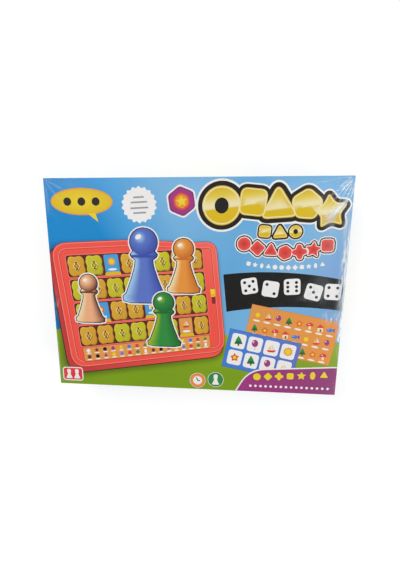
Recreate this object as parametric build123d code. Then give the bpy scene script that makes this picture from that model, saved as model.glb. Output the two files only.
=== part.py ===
from build123d import *
import math
import os

# A boxed two-player guessing game: a telescoping cardboard box in shrink film, lying with its
# printed front up, and in it two flip-door boards side by side over their spare sheets and rules.
# All sizes are in millimetres. +X runs to the right of the printed front, +Y to its top, +Z up.
# The origin is the middle of the underside. The box is sized from the inside out: doors, boards,
# tray, lid, film.

# Doors
door_columns = 8
door_rows = 4
door_width = 21.0
door_reach = 27.5  # from the hinge line to the free edge
door_thickness = 2.0
door_corner = 2.5  # clipped corners at the free edge
door_gap = 3.0  # between neighbouring doors, taken up by a hinge lug
nail_notch_width = 8.0
nail_notch_depth = 1.6
panel_margin = 4.5  # from the door's edges to its sunk panel
panel_depth = 0.4
door_side_clearance = 0.6  # door to window, at the sides and the free edge
lug_side_clearance = 0.3
trunnion_end_clearance = 0.1  # from a trunnion's end to the middle of its lug
pin_clearance = 0.05  # radial, trunnion in its lug

# Game board, from its bottom edge to its top edge
board_bottom_border = 9.0
strip_window_height = 14.0
strip_gap = 5.0
hinge_back_room = 1.9  # from the hinge line to the window's edge behind it
row_web = 3.0
board_top_border = 20.0
board_left_margin = 16.0  # to the middle of the first hinge lug
board_right_margin = 24.0
board_corner = 22.0
window_corner = 3.0
wave_rise = 8.0  # the top edge climbs by this much from left to right
wave_run = 90.0
wave_start = 78.0  # from the left edge

# Game board, from its underside to its face
board_floor = 2.0
back_cover_height = 6.0
sheet_level = 11.6
sheet_thickness = 0.5
sheet_clearance = 0.3  # from the sheet to what is above it
hinge_level = 14.2
rim_level = 14.5
face_level = 16.0
face_thickness = 2.0
shell_wall = 2.0
shell_step = 0.8  # the front shell stands in by this much from the back cover
raised_panel_inset = 4.0
lug_wall = 0.75  # around the trunnion's hole
hinge_rib_width = 2.0
rib_thickness = 1.6
rib_end_room = 1.0

# Slider in its slot at the board's left margin
slider_travel = 20.0
slider_slot_inset = 10.2  # from the left edge to the slot's middle
slider_neck_width = 3.0
slider_neck_length = 8.0
slider_knob_width = 6.0
slider_knob_height = 2.4
slider_flange_width = 6.0
slider_flange_height = 1.1
slider_flange_overlap = 2.0  # beyond the neck, at each end
slider_clearance = 0.2

# Picture sheet
sheet_overlap = 3.0  # beyond the windows, all round
sheet_side_clearance = 0.5
sheet_corner = 3.0
pull_tab_length = 4.0
pull_tab_width = 40.0
pull_tab_corner = 2.0
sheet_travel = 25.0  # free way of the sheet in the closed box
sheet_travel_spare = 2.1  # left beyond that way

# Rules leaflet, folded flat
leaflet_length = 297.0
leaflet_width = 210.0
leaflet_thickness = 0.4

# Box
board_end_room = 2.55  # from a board's top or bottom edge to the tray's end wall
board_between_room = 3.3
board_back_room = 1.3  # from the boards' left edges to the tray's side wall
door_headroom = 4.2  # from a door that stands up to the lid
cardboard = 1.5
telescope_clearance = 0.7  # tray wall to lid wall
lid_foot_gap = 0.9  # from the lid's lower edge to the film below
edge_round = 0.8  # the lid's upright edges, where its paper turns the corner
edge_bevel = 0.6  # edges round the lid's face
corner_cut = 0.8  # the tray's upright edges
film = 0.1
film_seam = 0.1  # gap between the two halves of the film


def box_at(u_low, u_high, v_low, v_high, z_low, z_high):
    """A box from its six face positions."""
    size = (u_high - u_low, v_high - v_low, z_high - z_low)
    middle = ((u_low + u_high) / 2, (v_low + v_high) / 2, (z_low + z_high) / 2)
    return Pos(*middle) * Box(*size)


# Sizes that follow from the driving dimensions
door_pitch = door_width + door_gap
pin_radius = door_thickness / 2
trunnion_hole = 2 * (pin_radius + pin_clearance)
lug_half_width = door_gap / 2 - lug_side_clearance
window_height = hinge_back_room + door_reach + door_side_clearance
row_pitch = window_height + row_web
board_width = board_left_margin + door_columns * door_pitch + board_right_margin
rows_bottom = board_bottom_border + strip_window_height + strip_gap
rows_top = rows_bottom + door_rows * row_pitch - row_web
board_height = rows_top + board_top_border
slider_slot_middle = (rows_bottom + rows_top) / 2

board_pull_room = pull_tab_length + sheet_travel + sheet_travel_spare
inner_length = 2 * board_height + 2 * board_end_room + board_between_room
inner_width = board_back_room + board_width + board_pull_room
tray_length = inner_length + 2 * cardboard
tray_width = inner_width + 2 * cardboard
lid_length = tray_length + 2 * telescope_clearance + 2 * cardboard
lid_width = tray_width + 2 * telescope_clearance + 2 * cardboard
tray_floor_top = film + cardboard
leaflet_top = tray_floor_top + leaflet_thickness
board_base = leaflet_top + sheet_thickness
lid_inside = board_base + hinge_level + door_reach + door_headroom
lid_top = lid_inside + cardboard
box_length = lid_length + 2 * film
box_width = lid_width + 2 * film
box_depth = lid_top + film


def hinge_line(row):
    """Height of a row's hinge line above the board's bottom edge. Row 1 is the top row."""
    return rows_bottom + (door_rows - row) * row_pitch + door_side_clearance + door_reach


def lug_middle(column):
    """Place of a lug across the board: lug 0 stands before the first door."""
    return board_left_margin + column * door_pitch


def door_middle(column):
    return lug_middle(column - 1) + door_pitch / 2


def board_outline(inset):
    """The board seen from above: round corners, and a top edge that climbs in one S to the right."""
    left_top = board_height - wave_rise
    wave_end = wave_start + wave_run
    wave_middle = (wave_start + wave_run / 2, left_top + wave_rise / 2)
    edges = [
        Line((0, left_top), (0, 0)),
        Line((0, 0), (board_width, 0)),
        Line((board_width, 0), (board_width, board_height)),
        Line((board_width, board_height), (wave_end, board_height)),
        TangentArc((wave_end, board_height), wave_middle, tangent=(-1, 0)),
        TangentArc((wave_start, left_top), wave_middle, tangent=(1, 0)),
        Line((wave_start, left_top), (0, left_top)),
    ]
    face = make_face(edges)
    sides = face.vertices().group_by(Axis.X)
    face = fillet(sides[0] + sides[-1], board_corner)
    if inset:
        face = offset(face, amount=-inset)
    return face


def board_slab(inset, z_low, z_high):
    return Pos(0, 0, z_low) * extrude(board_outline(inset), z_high - z_low)


def board_hollow(wall, z_low, z_high):
    """A hollow that leaves at least the wall inside the outline, each round corner as two flats."""
    diagonal = board_corner - (board_corner - wall) * math.sqrt(0.5)
    right = board_width
    top = board_height
    left_top = board_height - wave_rise
    points = [
        (wall, board_corner),
        (diagonal, diagonal),
        (board_corner, wall),
        (right - board_corner, wall),
        (right - diagonal, diagonal),
        (right - wall, board_corner),
        (right - wall, top - board_corner),
        (right - diagonal, top - diagonal),
        (right - board_corner, top - wall),
        (wave_start + wave_run, top - wall),
        (wave_start + wave_run / 4, left_top - wall),
        (board_corner, left_top - wall),
        (diagonal, left_top - diagonal),
        (wall, left_top - board_corner),
    ]
    return Pos(0, 0, z_low) * extrude(Polygon(*points, align=None), z_high - z_low)


def window_cutter(v_low, v_high, round_top):
    """An opening as wide as a row of doors, right through the face, with round lower corners."""
    u_low = lug_middle(0) + door_gap / 2 - door_side_clearance
    u_high = lug_middle(door_columns) - door_gap / 2 + door_side_clearance
    cutter = box_at(u_low, u_high, v_low, v_high, back_cover_height, face_level)
    corners = cutter.edges().filter_by(Axis.Z)
    if not round_top:
        corners = corners.group_by(Axis.Y)[0]
    return fillet(corners, window_corner)


def hinge_lug():
    """One hinge lug about its own hinge line, still without the hole for its two trunnions."""
    front = trunnion_hole / 2 + lug_wall
    top = face_level - hinge_level
    return box_at(-lug_half_width, lug_half_width, -front, hinge_back_room, -front, top)


def hinge_rib(row):
    """The rib that stiffens the web behind a row's hinge line and carries the lugs."""
    low = lug_middle(0) - lug_half_width
    high = lug_middle(door_columns) + lug_half_width
    back = hinge_line(row) + hinge_back_room
    foot = hinge_level - trunnion_hole / 2 - lug_wall
    return box_at(low, high, back, back + hinge_rib_width, foot, face_level - face_thickness)


def trunnion_holes(row):
    """The square cored holes of a row's lugs, as one bar along the hinge line."""
    low = lug_middle(0) - lug_half_width
    high = lug_middle(door_columns) + lug_half_width
    bar = Box(high - low, trunnion_hole, trunnion_hole)
    return Pos((low + high) / 2, hinge_line(row), hinge_level) * bar


def front_shell():
    """The board's front: rim, raised panel, windows, hinge lugs, slider slot and sheet slot."""
    shell = board_slab(shell_step, back_cover_height, rim_level)
    shell += board_slab(raised_panel_inset, rim_level, face_level)
    under_rim = rim_level - face_thickness
    shell -= board_hollow(shell_step + shell_wall, back_cover_height, under_rim)
    shell -= board_hollow(raised_panel_inset + shell_wall, under_rim, face_level - face_thickness)
    for row in range(1, door_rows + 1):
        hinge = hinge_line(row)
        low = hinge - door_reach - door_side_clearance
        shell -= window_cutter(low, hinge + hinge_back_room, round_top=False)
    strip_top = board_bottom_border + strip_window_height
    shell -= window_cutter(board_bottom_border, strip_top, round_top=True)
    lug = hinge_lug()
    lugs = [
        Pos(lug_middle(column), hinge_line(row), hinge_level) * lug
        for row in range(1, door_rows + 1)
        for column in range(door_columns + 1)
    ]
    shell = shell + [hinge_rib(row) for row in range(1, door_rows + 1)] + lugs
    for row in range(1, door_rows + 1):
        shell -= trunnion_holes(row)
    half_width = slider_neck_width / 2 + slider_clearance
    half_length = (slider_neck_length + slider_travel) / 2 + slider_clearance
    shell -= box_at(
        slider_slot_inset - half_width,
        slider_slot_inset + half_width,
        slider_slot_middle - half_length,
        slider_slot_middle + half_length,
        back_cover_height,
        face_level,
    )
    shell -= box_at(
        board_width / 2,
        board_width,
        sheet_bottom_edge() - sheet_side_clearance,
        sheet_top_edge() + sheet_side_clearance,
        sheet_level - sheet_clearance,
        sheet_level + sheet_thickness + sheet_clearance,
    ) & board_slab(0, back_cover_height, rim_level)
    return shell


def sheet_bottom_edge():
    return board_bottom_border - sheet_overlap


def sheet_top_edge():
    return hinge_line(1) + hinge_back_room + sheet_overlap


def sheet_height():
    return sheet_top_edge() - sheet_bottom_edge()


def sheet_width():
    return door_columns * door_pitch + 2 * sheet_overlap


def picture_sheet():
    """The sheet as it lies in its board, with the pull tab that reaches out of the right edge."""
    left = lug_middle(0) - sheet_overlap
    low = sheet_bottom_edge()
    high = sheet_top_edge()
    top = sheet_level + sheet_thickness
    sheet = box_at(left, left + sheet_width(), low, high, sheet_level, top)
    sheet = chamfer(sheet.edges().filter_by(Axis.Z), sheet_corner)
    tab_low = (low + high - pull_tab_width) / 2
    tab_high = tab_low + pull_tab_width
    tab_end = board_width + pull_tab_length
    tab = box_at(left + sheet_width(), tab_end, tab_low, tab_high, sheet_level, top)
    ends = tab.edges().filter_by(Axis.Z).group_by(Axis.X)[-1]
    return sheet + chamfer(ends, pull_tab_corner)


def back_cover():
    """The pan that closes the board from below, with the ribs that carry the sheet."""
    cover = board_slab(0, 0, back_cover_height)
    cover -= board_hollow(shell_wall, board_floor, back_cover_height)
    rib_places = [(board_bottom_border + strip_window_height + rows_bottom) / 2]
    rib_places += [
        hinge_line(row) + hinge_back_room + row_web / 2 for row in range(1, door_rows + 1)
    ]
    rib_places += [sheet_bottom_edge() + rib_thickness / 2]
    half = rib_thickness / 2
    for place in rib_places:
        in_corner = place < board_corner or place > board_height - wave_rise - board_corner
        left = board_corner if in_corner else shell_step + shell_wall + rib_end_room
        right = board_width - left
        cover += box_at(left, right, place - half, place + half, board_floor, sheet_level)
    return cover


def slider():
    """The slider about the slot's middle: knob, neck and the flange that keeps it in its slot."""
    neck = slider_neck_width / 2
    end = slider_neck_length / 2
    flange_top = face_level - face_thickness - slider_clearance
    flange_low = flange_top - slider_flange_height
    knob_low = face_level + slider_clearance
    knob_high = knob_low + slider_knob_height
    flange_end = end + slider_flange_overlap
    flange = slider_flange_width / 2
    knob = slider_knob_width / 2
    knob_block = box_at(-knob, knob, -end, end, knob_low, knob_high)
    knob_block = chamfer(knob_block.edges().group_by(Axis.Z)[-1], slider_knob_height / 4)
    body = box_at(-flange, flange, -flange_end, flange_end, flange_low, flange_top)
    body += box_at(-neck, neck, -end, end, flange_top, knob_low)
    body += knob_block
    start = slider_slot_middle - slider_travel / 2
    return Pos(slider_slot_inset, start, 0) * body


def door():
    """One door about its hinge line: a plate whose crowned hinge edge runs on as two trunnions."""
    half_width = door_width / 2
    trunnion = door_gap / 2 - trunnion_end_clearance
    half_span = half_width + trunnion
    crown = pin_radius * math.sqrt(0.5)
    section = make_face(
        [
            Line((-door_reach, -pin_radius), (0, -pin_radius)),
            Line((0, -pin_radius), (crown, -crown)),
            ThreePointArc((crown, -crown), (pin_radius, 0), (crown, crown)),
            Line((crown, crown), (0, pin_radius)),
            Line((0, pin_radius), (-door_reach, pin_radius)),
            Line((-door_reach, pin_radius), (-door_reach, -pin_radius)),
        ]
    )
    across = Plane(origin=(-half_span, 0, 0), x_dir=(0, 1, 0), z_dir=(1, 0, 0))
    body = extrude(across * section, 2 * half_span)
    for side in (-1, 1):
        inner = side * half_width
        outer = side * (half_span + trunnion)
        low, high = min(inner, outer), max(inner, outer)
        body -= box_at(low, high, -2 * door_reach, 0, -door_thickness, door_thickness)
    free_corners = body.edges().filter_by(Axis.Z).group_by(Axis.Y)[0]
    body = chamfer(free_corners, door_corner)
    notch = Polygon(
        (-nail_notch_width / 2, -door_reach),
        (nail_notch_width / 2, -door_reach),
        (nail_notch_width / 2 - nail_notch_depth, nail_notch_depth - door_reach),
        (nail_notch_depth - nail_notch_width / 2, nail_notch_depth - door_reach),
        align=None,
    )
    body -= Pos(0, 0, -pin_radius) * extrude(notch, door_thickness)
    panel_u = half_width - panel_margin
    panel_low = panel_margin - door_reach
    panel_floor = pin_radius - panel_depth
    body -= box_at(-panel_u, panel_u, panel_low, -panel_margin, panel_floor, pin_radius)
    return body


def centred_block(length, width, z_low, z_high):
    return box_at(-length / 2, length / 2, -width / 2, width / 2, z_low, z_high)


def lid_form(z_low, skin):
    """The lid's outer form, or that of a skin over it: upright edges round, face edges bevelled."""
    length, width = lid_length + 2 * skin, lid_width + 2 * skin
    block = centred_block(length, width, z_low, lid_top + skin)
    block = fillet(block.edges().filter_by(Axis.Z), edge_round + skin)
    bevel = edge_bevel + skin * (2 - math.sqrt(2))
    return chamfer(block.edges().group_by(Axis.Z)[-1], bevel)


def lid():
    hollow = (lid_length - 2 * cardboard, lid_width - 2 * cardboard)
    return lid_form(film + lid_foot_gap, 0) - centred_block(*hollow, 0, lid_inside)


def tray():
    block = centred_block(tray_length, tray_width, film, lid_inside)
    block = chamfer(block.edges().filter_by(Axis.Z), corner_cut)
    return block - centred_block(inner_length, inner_width, tray_floor_top, lid_inside)


def film_cap():
    """The film over the lid and down its sides, as a skin of even thickness."""
    foot = film + film_seam
    return lid_form(foot, film) - lid_form(foot, 0)


def film_base():
    """The film under the tray, cut from the rest along the seam."""
    sheet = centred_block(box_length, box_width, 0, film)
    return chamfer(sheet.edges().filter_by(Axis.Z), corner_cut)


# Where the pieces stand in the box. A board's own right edge faces +Y, and its top edge faces -X.
board_names = ("board_a", "board_b")
board_left_edge_y = board_back_room - inner_width / 2
board_bottom_edge_x = {
    "board_a": board_end_room - inner_length / 2 + board_height,
    "board_b": inner_length / 2 - board_end_room,
}


def board_place(name):
    return Location((board_bottom_edge_x[name], board_left_edge_y, board_base), (0, 0, 90))


def spare_sheet(name, sheet):
    """A spare sheet flat on the leaflet, straight below the one in the named board."""
    return Pos(0, 0, -sheet_level - sheet_thickness) * board_place(name) * sheet


def rules_leaflet():
    middle_y = board_left_edge_y + board_width / 2
    middle_z = tray_floor_top + leaflet_thickness / 2
    return Pos(0, middle_y, middle_z) * Box(leaflet_length, leaflet_width, leaflet_thickness)


def board_nodes(name, shell, cover, sheet, slide_piece, door_piece):
    """All nodes of one board. Board A's doors are nodes of their own; board B's go by rows."""
    place = board_place(name)
    nodes = {
        f"{name}_front_shell": place * shell,
        f"{name}_back_cover": place * cover,
        f"{name}_picture_sheet": place * sheet,
        f"{name}_slider": place * slide_piece,
    }
    for row in range(1, door_rows + 1):
        row_doors = [
            place * Pos(door_middle(column), hinge_line(row), hinge_level) * door_piece
            for column in range(1, door_columns + 1)
        ]
        if name == "board_a":
            for column, one_door in enumerate(row_doors, start=1):
                nodes[f"{name}_door_r{row}c{column}"] = one_door
        else:
            nodes[f"{name}_doors_r{row}"] = Compound(children=row_doors)
    return nodes


def all_nodes():
    nodes = {
        "box_tray": tray(),
        "box_lid": lid(),
        "film_over_lid": film_cap(),
        "film_under_tray": film_base(),
        "rules_leaflet": rules_leaflet(),
    }
    sheet = picture_sheet()
    pieces = (front_shell(), back_cover(), sheet, slider(), door())
    for name in board_names:
        nodes[f"spare_sheet_{name[-1]}"] = spare_sheet(name, sheet)
        nodes.update(board_nodes(name, *pieces))
    return nodes


os.makedirs("parts", exist_ok=True)
for node_name, piece in all_nodes().items():
    export_step(piece, os.path.join("parts", f"{node_name}.step"))

print(f"box over its film: {box_length:.2f} x {box_width:.2f} x {box_depth:.2f} mm")
print(f"game board: {board_width:.1f} x {board_height:.1f} x {face_level:.1f} mm")
print(f"picture sheet: {sheet_width():.1f} x {sheet_height():.1f} mm")
for board_name in board_names:
    corner_x = board_bottom_edge_x[board_name]
    print(f"{board_name}: lower left corner at x {corner_x:.2f}, y {board_left_edge_y:.2f}")
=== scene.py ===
# Looks of the boxed flip-door guessing game: printed lid, shrink film, moulded boards, card sheets.
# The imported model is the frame. Printed faces are drawn as thin layers of flat colour.
import math
import bpy
import numpy as np
from mathutils import Matrix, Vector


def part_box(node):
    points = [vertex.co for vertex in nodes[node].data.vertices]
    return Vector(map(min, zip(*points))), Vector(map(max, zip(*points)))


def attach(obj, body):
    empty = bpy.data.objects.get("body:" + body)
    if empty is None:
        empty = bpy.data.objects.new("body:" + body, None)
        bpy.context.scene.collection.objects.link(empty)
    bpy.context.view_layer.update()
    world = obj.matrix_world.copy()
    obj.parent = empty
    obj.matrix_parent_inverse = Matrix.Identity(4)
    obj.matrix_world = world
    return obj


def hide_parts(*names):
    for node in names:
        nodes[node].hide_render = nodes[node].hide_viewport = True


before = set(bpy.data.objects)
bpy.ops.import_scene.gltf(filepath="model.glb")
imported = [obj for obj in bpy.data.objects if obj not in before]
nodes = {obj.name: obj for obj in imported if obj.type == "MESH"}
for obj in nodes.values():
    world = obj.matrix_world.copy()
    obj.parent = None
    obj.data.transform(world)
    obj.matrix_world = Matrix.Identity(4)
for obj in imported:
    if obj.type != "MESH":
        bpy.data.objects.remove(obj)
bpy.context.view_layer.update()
print("frame loaded,", len(nodes), "pieces")


def linear(text):  # hex digits of a screen colour to linear light
    s = np.array([int(text[i:i + 2], 16) for i in (1, 3, 5)]) / 255
    return np.where(s <= 0.04045, s / 12.92, ((s + 0.055) / 1.055) ** 2.4)


inks = {name: linear(text) for name, text in {
    "skyDeep": "#0688CD", "skyMiddle": "#46A0DB", "skySoft": "#72B1DF", "skyPale": "#A6D0EE",
    "periwinkle": "#8797D2", "leaf": "#8AA908", "leafLight": "#99BA14", "leafDeep": "#7B9F08",
    "black": "#0E0D0D", "ink": "#1A1613", "white": "#F1EFED", "pearl": "#DEDCE0",
    "coral": "#F45346", "coralLight": "#F98878", "coralDeep": "#C23A38", "coralShade": "#8C2527",
    "yellow": "#DDBB14", "yellowDeep": "#D9AF10", "yellowLight": "#E3CB4A",
    "cream": "#F0E3B0", "sun": "#EFD01E",
    "lime": "#C6BF20", "limeDeep": "#9CA016", "limeLight": "#D9D33E", "recess": "#5E211C",
    "gold": "#D8A22C", "goldMiddle": "#C08A22", "goldLight": "#E6BC4C", "goldDeep": "#8F6417",
    "orange": "#E8943C", "orangeDeep": "#C96F22", "card": "#E29A4C", "blue": "#3E7FD6",
    "blueDeep": "#3B4FA8", "purple": "#A2357F", "purpleDeep": "#8A3270", "green": "#2E8B3C",
    "greenDeep": "#1E6A2E", "flame": "#E2582E", "peach": "#F0B084", "brown": "#6A3A28",
    "denim": "#5B74C4", "red": "#E0383C", "grey": "#9A9CA2",
}.items()}


# Colours that run from one to another


def mix(a, b, t):  # from a to b as t goes from 0 to 1
    t = np.clip(np.asarray(t, float), 0, 1)[:, None]
    return a + (b - a) * t


def inkMix(first, second, t):
    return mix(inks[first], inks[second], t)


def ease(t):  # 3t^2 - 2t^3
    t = np.clip(t, 0, 1)
    return t * t * (3 - 2 * t)


def stops(*pairs):  # a function that runs through inks at given amounts
    at = [amount for amount, name in pairs]
    tones = np.array([inks[name] for amount, name in pairs])
    return lambda s: np.stack([np.interp(s, at, tones[:, k]) for k in range(3)], 1)


def bell(x, y, middle, reach):  # e to the minus (x / reach)^2 + (y / reach)^2, from the middle
    return np.exp(-((x - middle[0]) / reach[0]) ** 2 - ((y - middle[1]) / reach[1]) ** 2)


# Outlines, in millimetres on the printed sheet or in shares of a shape's size


def line(x, y):  # points from their x and y; y may be one height for all
    return np.stack([x, np.broadcast_to(y, x.shape)], 1)


def oval(width, height, count=72):  # half width and height times cosine and sine
    a = np.linspace(0, 2 * np.pi, count, endpoint=False)
    return line(width / 2 * np.cos(a), height / 2 * np.sin(a))


def spokes(count, radii, turn=90):  # corners at even angles, the radii taken in turn
    a = np.radians(turn) + 2 * np.pi * np.arange(count) / count
    r = np.resize(radii, count)
    return line(r * np.cos(a), r * np.sin(a))


def oblong(width, height):  # four corners, half the width and height from the middle
    return np.array([[1, -1], [1, 1], [-1, 1], [-1, -1]]) * (width / 2, height / 2)


def softened(corners, radius, steps=3):  # each corner becomes a parabola from side to side
    p = np.asarray(corners, float)
    back, ahead = np.roll(p, 1, 0) - p, np.roll(p, -1, 0) - p
    backLength = np.linalg.norm(back, axis=1, keepdims=True)
    aheadLength = np.linalg.norm(ahead, axis=1, keepdims=True)
    reach = np.minimum(radius, 0.48 * np.minimum(backLength, aheadLength))
    start, end = p + back / backLength * reach, p + ahead / aheadLength * reach
    t = np.linspace(0, 1, steps)[None, :, None]
    curve = (1 - t) ** 2 * start[:, None] + 2 * t * (1 - t) * p[:, None] + t ** 2 * end[:, None]
    return curve.reshape(-1, 2)


def grown(outline, by):  # every point moves outwards along the outline's normal
    along = np.roll(outline, -1, 0) - np.roll(outline, 1, 0)
    normal = line(along[:, 1], -along[:, 0])
    return outline + by * normal / np.linalg.norm(normal, axis=1, keepdims=True)


def placed(outline, at=(0, 0), turn=0, size=1):  # scaled, turned about the origin and moved
    a = math.radians(turn)
    spin = np.array([[math.cos(a), math.sin(a)], [-math.sin(a), math.cos(a)]])
    return size * np.asarray(outline) @ spin + at


def evened(outline, count):  # points at even distances along a closed outline
    ring = np.vstack([outline, outline[:1]])
    run = np.concatenate([[0], np.cumsum(np.linalg.norm(np.diff(ring, axis=0), axis=1))])
    at = np.linspace(0, run[-1], count, endpoint=False)
    return np.stack([np.interp(at, run, ring[:, k]) for k in (0, 1)], 1)


# Layers of ink: points, faces and colours gathered for one printed piece. A level is a layer's
# number, counted up from the card. Inks that overlap have levels of their own, so that none lies
# in another's plane.


def newPrint(warp=None):
    return {"points": [], "levels": [], "inks": [], "quads": [], "tris": [], "count": 0,
            "warp": warp}


def layPoints(sheet, points, tint, level, t):  # tint is a colour, or a function of t, x and y
    if sheet["warp"] is not None:
        points = sheet["warp"](points)
    colours = tint(t, *points.T) if callable(tint) else np.tile(tint, (len(points), 1))
    sheet["points"].append(points)
    sheet["levels"].append(np.full(len(points), float(level)))
    sheet["inks"].append(colours)
    sheet["count"] += len(points)
    return sheet["count"] - len(points) + np.arange(len(points))


def layGrid(sheet, grid, tint, level, t, closed):
    # grid is rows x columns of points, and the quads run between neighbours
    rows, columns = grid.shape[:2]
    index = layPoints(sheet, grid.reshape(-1, 2), tint, level, np.repeat(t, columns))
    index = index.reshape(rows, columns)
    right = np.roll(index, -1, 1) if closed else index[:, 1:]
    left = index if closed else index[:, :-1]
    quads = np.stack([left[:-1], left[1:], right[1:], right[:-1]], -1).reshape(-1, 4)
    sheet["quads"].append(quads)
    return index


def strip(sheet, first, second, tint, level, rows=1, closed=False):
    # straight lines from the first curve to the second, cut into rows
    t = np.linspace(0, 1, rows + 1)
    layGrid(sheet, first + t[:, None, None] * (second - first), tint, level, t, closed)


def fill(sheet, outline, tint, level, rings=1):
    # rings of the outline shrunk towards its middle, closed there by a fan
    centre = outline.mean(0)
    t = np.arange(1, rings + 1) / rings
    grid = centre + t[:, None, None] * (outline - centre)
    index = layGrid(sheet, grid, tint, level, t, True)
    hub = np.repeat(layPoints(sheet, centre[None], tint, level, np.zeros(1)), len(outline))
    sheet["tris"].append(np.stack([hub, index[0], np.roll(index[0], -1)], 1))


def stamp(sheet, outline, tone, level, at=(0, 0), turn=0, size=1):  # one shape in one ink
    fill(sheet, placed(outline, at, turn, size), inks[tone], level)


def rim(sheet, outline, inner, outer, tone, level):  # a band that follows an outline
    strip(sheet, grown(outline, inner), grown(outline, outer), inks[tone], level, 1, True)


def facingOut(points, faces):
    # twice each face's area, from its corners' cross products; flat ones are left out, and one
    # that runs clockwise is turned round
    x, y = points[faces][..., 0], points[faces][..., 1]
    area = (x * np.roll(y, -1, 1) - np.roll(x, -1, 1) * y).sum(1)
    keep = np.abs(area) > 1e-9
    faces, area = faces[keep], area[keep]
    faces[area < 0] = faces[area < 0][:, ::-1]
    return faces


def meshPiece(name, points, faces, finish, colours=None):
    mesh = bpy.data.meshes.new(name)
    mesh.from_pydata(points.tolist(), [], faces)
    if colours is not None:
        rgba = np.concatenate([colours, np.ones((len(colours), 1))], 1).astype(np.float32)
        layer = mesh.color_attributes.new(name="ink", type="FLOAT_COLOR", domain="POINT")
        layer.data.foreach_set("color", rgba.ravel())
    mesh.validate()
    mesh.update()
    mesh.materials.append(finish)
    piece = bpy.data.objects.new(name, mesh)
    bpy.context.scene.collection.objects.link(piece)
    return piece


paper = {"gap": 0.012, "layer": 0.011}  # mm: card to first ink, and ink to ink


def pressed(name, sheet, origin, across, up, body):
    # the sheet's x and y run along across and up from origin, its levels along their normal
    flat = np.concatenate(sheet["points"])
    across, up = np.array(across, float), np.array(up, float)
    lift = paper["gap"] + paper["layer"] * np.concatenate(sheet["levels"])
    points = (np.array(origin) + flat[:, :1] * across + flat[:, 1:] * up
              + lift[:, None] * np.cross(across, up)) / 1000
    faces = [corners for kind in ("quads", "tris")
             for corners in facingOut(flat, np.concatenate(sheet[kind])).tolist()]
    piece = meshPiece(name, points, faces, printedPaper, np.concatenate(sheet["inks"]))
    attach(piece, body)


# Finishes


def newFinish(name):
    made = bpy.data.materials.new(name)
    made.use_nodes = True
    return made, made.node_tree, made.node_tree.nodes["Principled BSDF"]


def feed(tree, node, links, values):  # outputs that a node's inputs take, and plain values
    for key, value in values.items():
        node.inputs[key].default_value = value
    for key, source in links.items():
        tree.links.new(source, node.inputs[key])


def addNode(tree, kind, links=None, values=None, **settings):
    made = tree.nodes.new("ShaderNode" + kind)
    for key, value in settings.items():
        setattr(made, key, value)
    feed(tree, made, links or {}, values or {})
    return made


def grain(tree, scale, detail=3.0, stretch=(1, 1, 1)):  # soft noise on object coordinates
    place = addNode(tree, "TexCoord").outputs["Object"]
    turn = addNode(tree, "Mapping", {"Vector": place}, {"Scale": stretch})
    return addNode(tree, "TexNoise", {"Vector": turn.outputs["Vector"]},
                   {"Scale": scale, "Detail": detail}).outputs["Fac"]


def spread(tree, value, start, end):  # a value from one pair of limits spread over another
    return addNode(tree, "MapRange", {"Value": value},
                   {"From Min": start[0], "From Max": start[1], "To Min": end[0],
                    "To Max": end[1]}).outputs["Result"]


noiseLimits = (0.3, 0.7)  # where nearly all of the soft noise lies


def tinted(tree, colour, noise, low, high):  # a colour made darker and lighter by noise
    tone = addNode(tree, "Mix", data_type="RGBA", blend_type="MULTIPLY",
                   values={"Factor": 1.0})
    if isinstance(colour, np.ndarray):
        tone.inputs["A"].default_value = (*colour, 1)
    else:
        tree.links.new(colour, tone.inputs["A"])
    tree.links.new(spread(tree, noise, noiseLimits, (low, high)), tone.inputs["B"])
    return tone.outputs["Result"]


def bump(tree, height, strength, distance):
    return addNode(tree, "Bump", {"Height": height},
                   {"Strength": strength, "Distance": distance}).outputs["Normal"]


inkLook = {"roughness": (0.32, 0.46), "sheen": 160.0, "specular": 0.3, "coat": 0.2,
           "coatRoughness": 0.12, "screen": 1400.0, "screenTone": (0.965, 1.02), "wave": 28.0,
           "waveTone": (0.975, 1.015), "tooth": 420.0, "bump": (0.12, 0.00012)}


def inkFinish():  # litho print on coated paper, with the print screen and a slight wave
    made, tree, shader = newFinish("printed_paper")
    ink = addNode(tree, "Attribute", attribute_name="ink").outputs["Color"]
    mottled = tinted(tree, ink, grain(tree, inkLook["screen"], 1.0), *inkLook["screenTone"])
    waved = tinted(tree, mottled, grain(tree, inkLook["wave"], 2.0), *inkLook["waveTone"])
    sheen = grain(tree, inkLook["sheen"])
    feed(tree, shader, {"Base Color": waved,
                        "Roughness": spread(tree, sheen, noiseLimits, inkLook["roughness"]),
                        "Normal": bump(tree, grain(tree, inkLook["tooth"]), *inkLook["bump"])},
         {"Specular IOR Level": inkLook["specular"], "Coat Weight": inkLook["coat"],
          "Coat Roughness": inkLook["coatRoughness"]})
    return made


cardLook = {"fibre": 900.0, "fibreTone": (0.93, 1.03), "fleck": 3200.0,
            "fleckTone": (0.96, 1.02), "roughness": (-0.08, 0.06), "bump": (0.25, 0.0001)}


def cardFinish(name, tone, roughness):  # uncoated board: long fibres, fine flecks, matt
    made, tree, shader = newFinish(name)
    fibre = grain(tree, cardLook["fibre"], 4.0, (1, 0.25, 1))
    fleck = grain(tree, cardLook["fleck"], 2.0)
    base = tinted(tree, linear(tone), fibre, *cardLook["fibreTone"])
    limits = [roughness + by for by in cardLook["roughness"]]
    feed(tree, shader, {"Base Color": tinted(tree, base, fleck, *cardLook["fleckTone"]),
                        "Roughness": spread(tree, fibre, noiseLimits, limits),
                        "Normal": bump(tree, fibre, *cardLook["bump"])}, {})
    return made


mouldedLook = {"flow": 22.0, "flowTone": (0.93, 1.05), "spark": 2600.0,
               "roughness": (-0.05, 0.09), "bump": (0.2, 0.00006), "coat": 0.25,
               "coatRoughness": 0.2, "depth": 0.05, "depthRadius": (0.002, 0.001, 0.001)}


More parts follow.
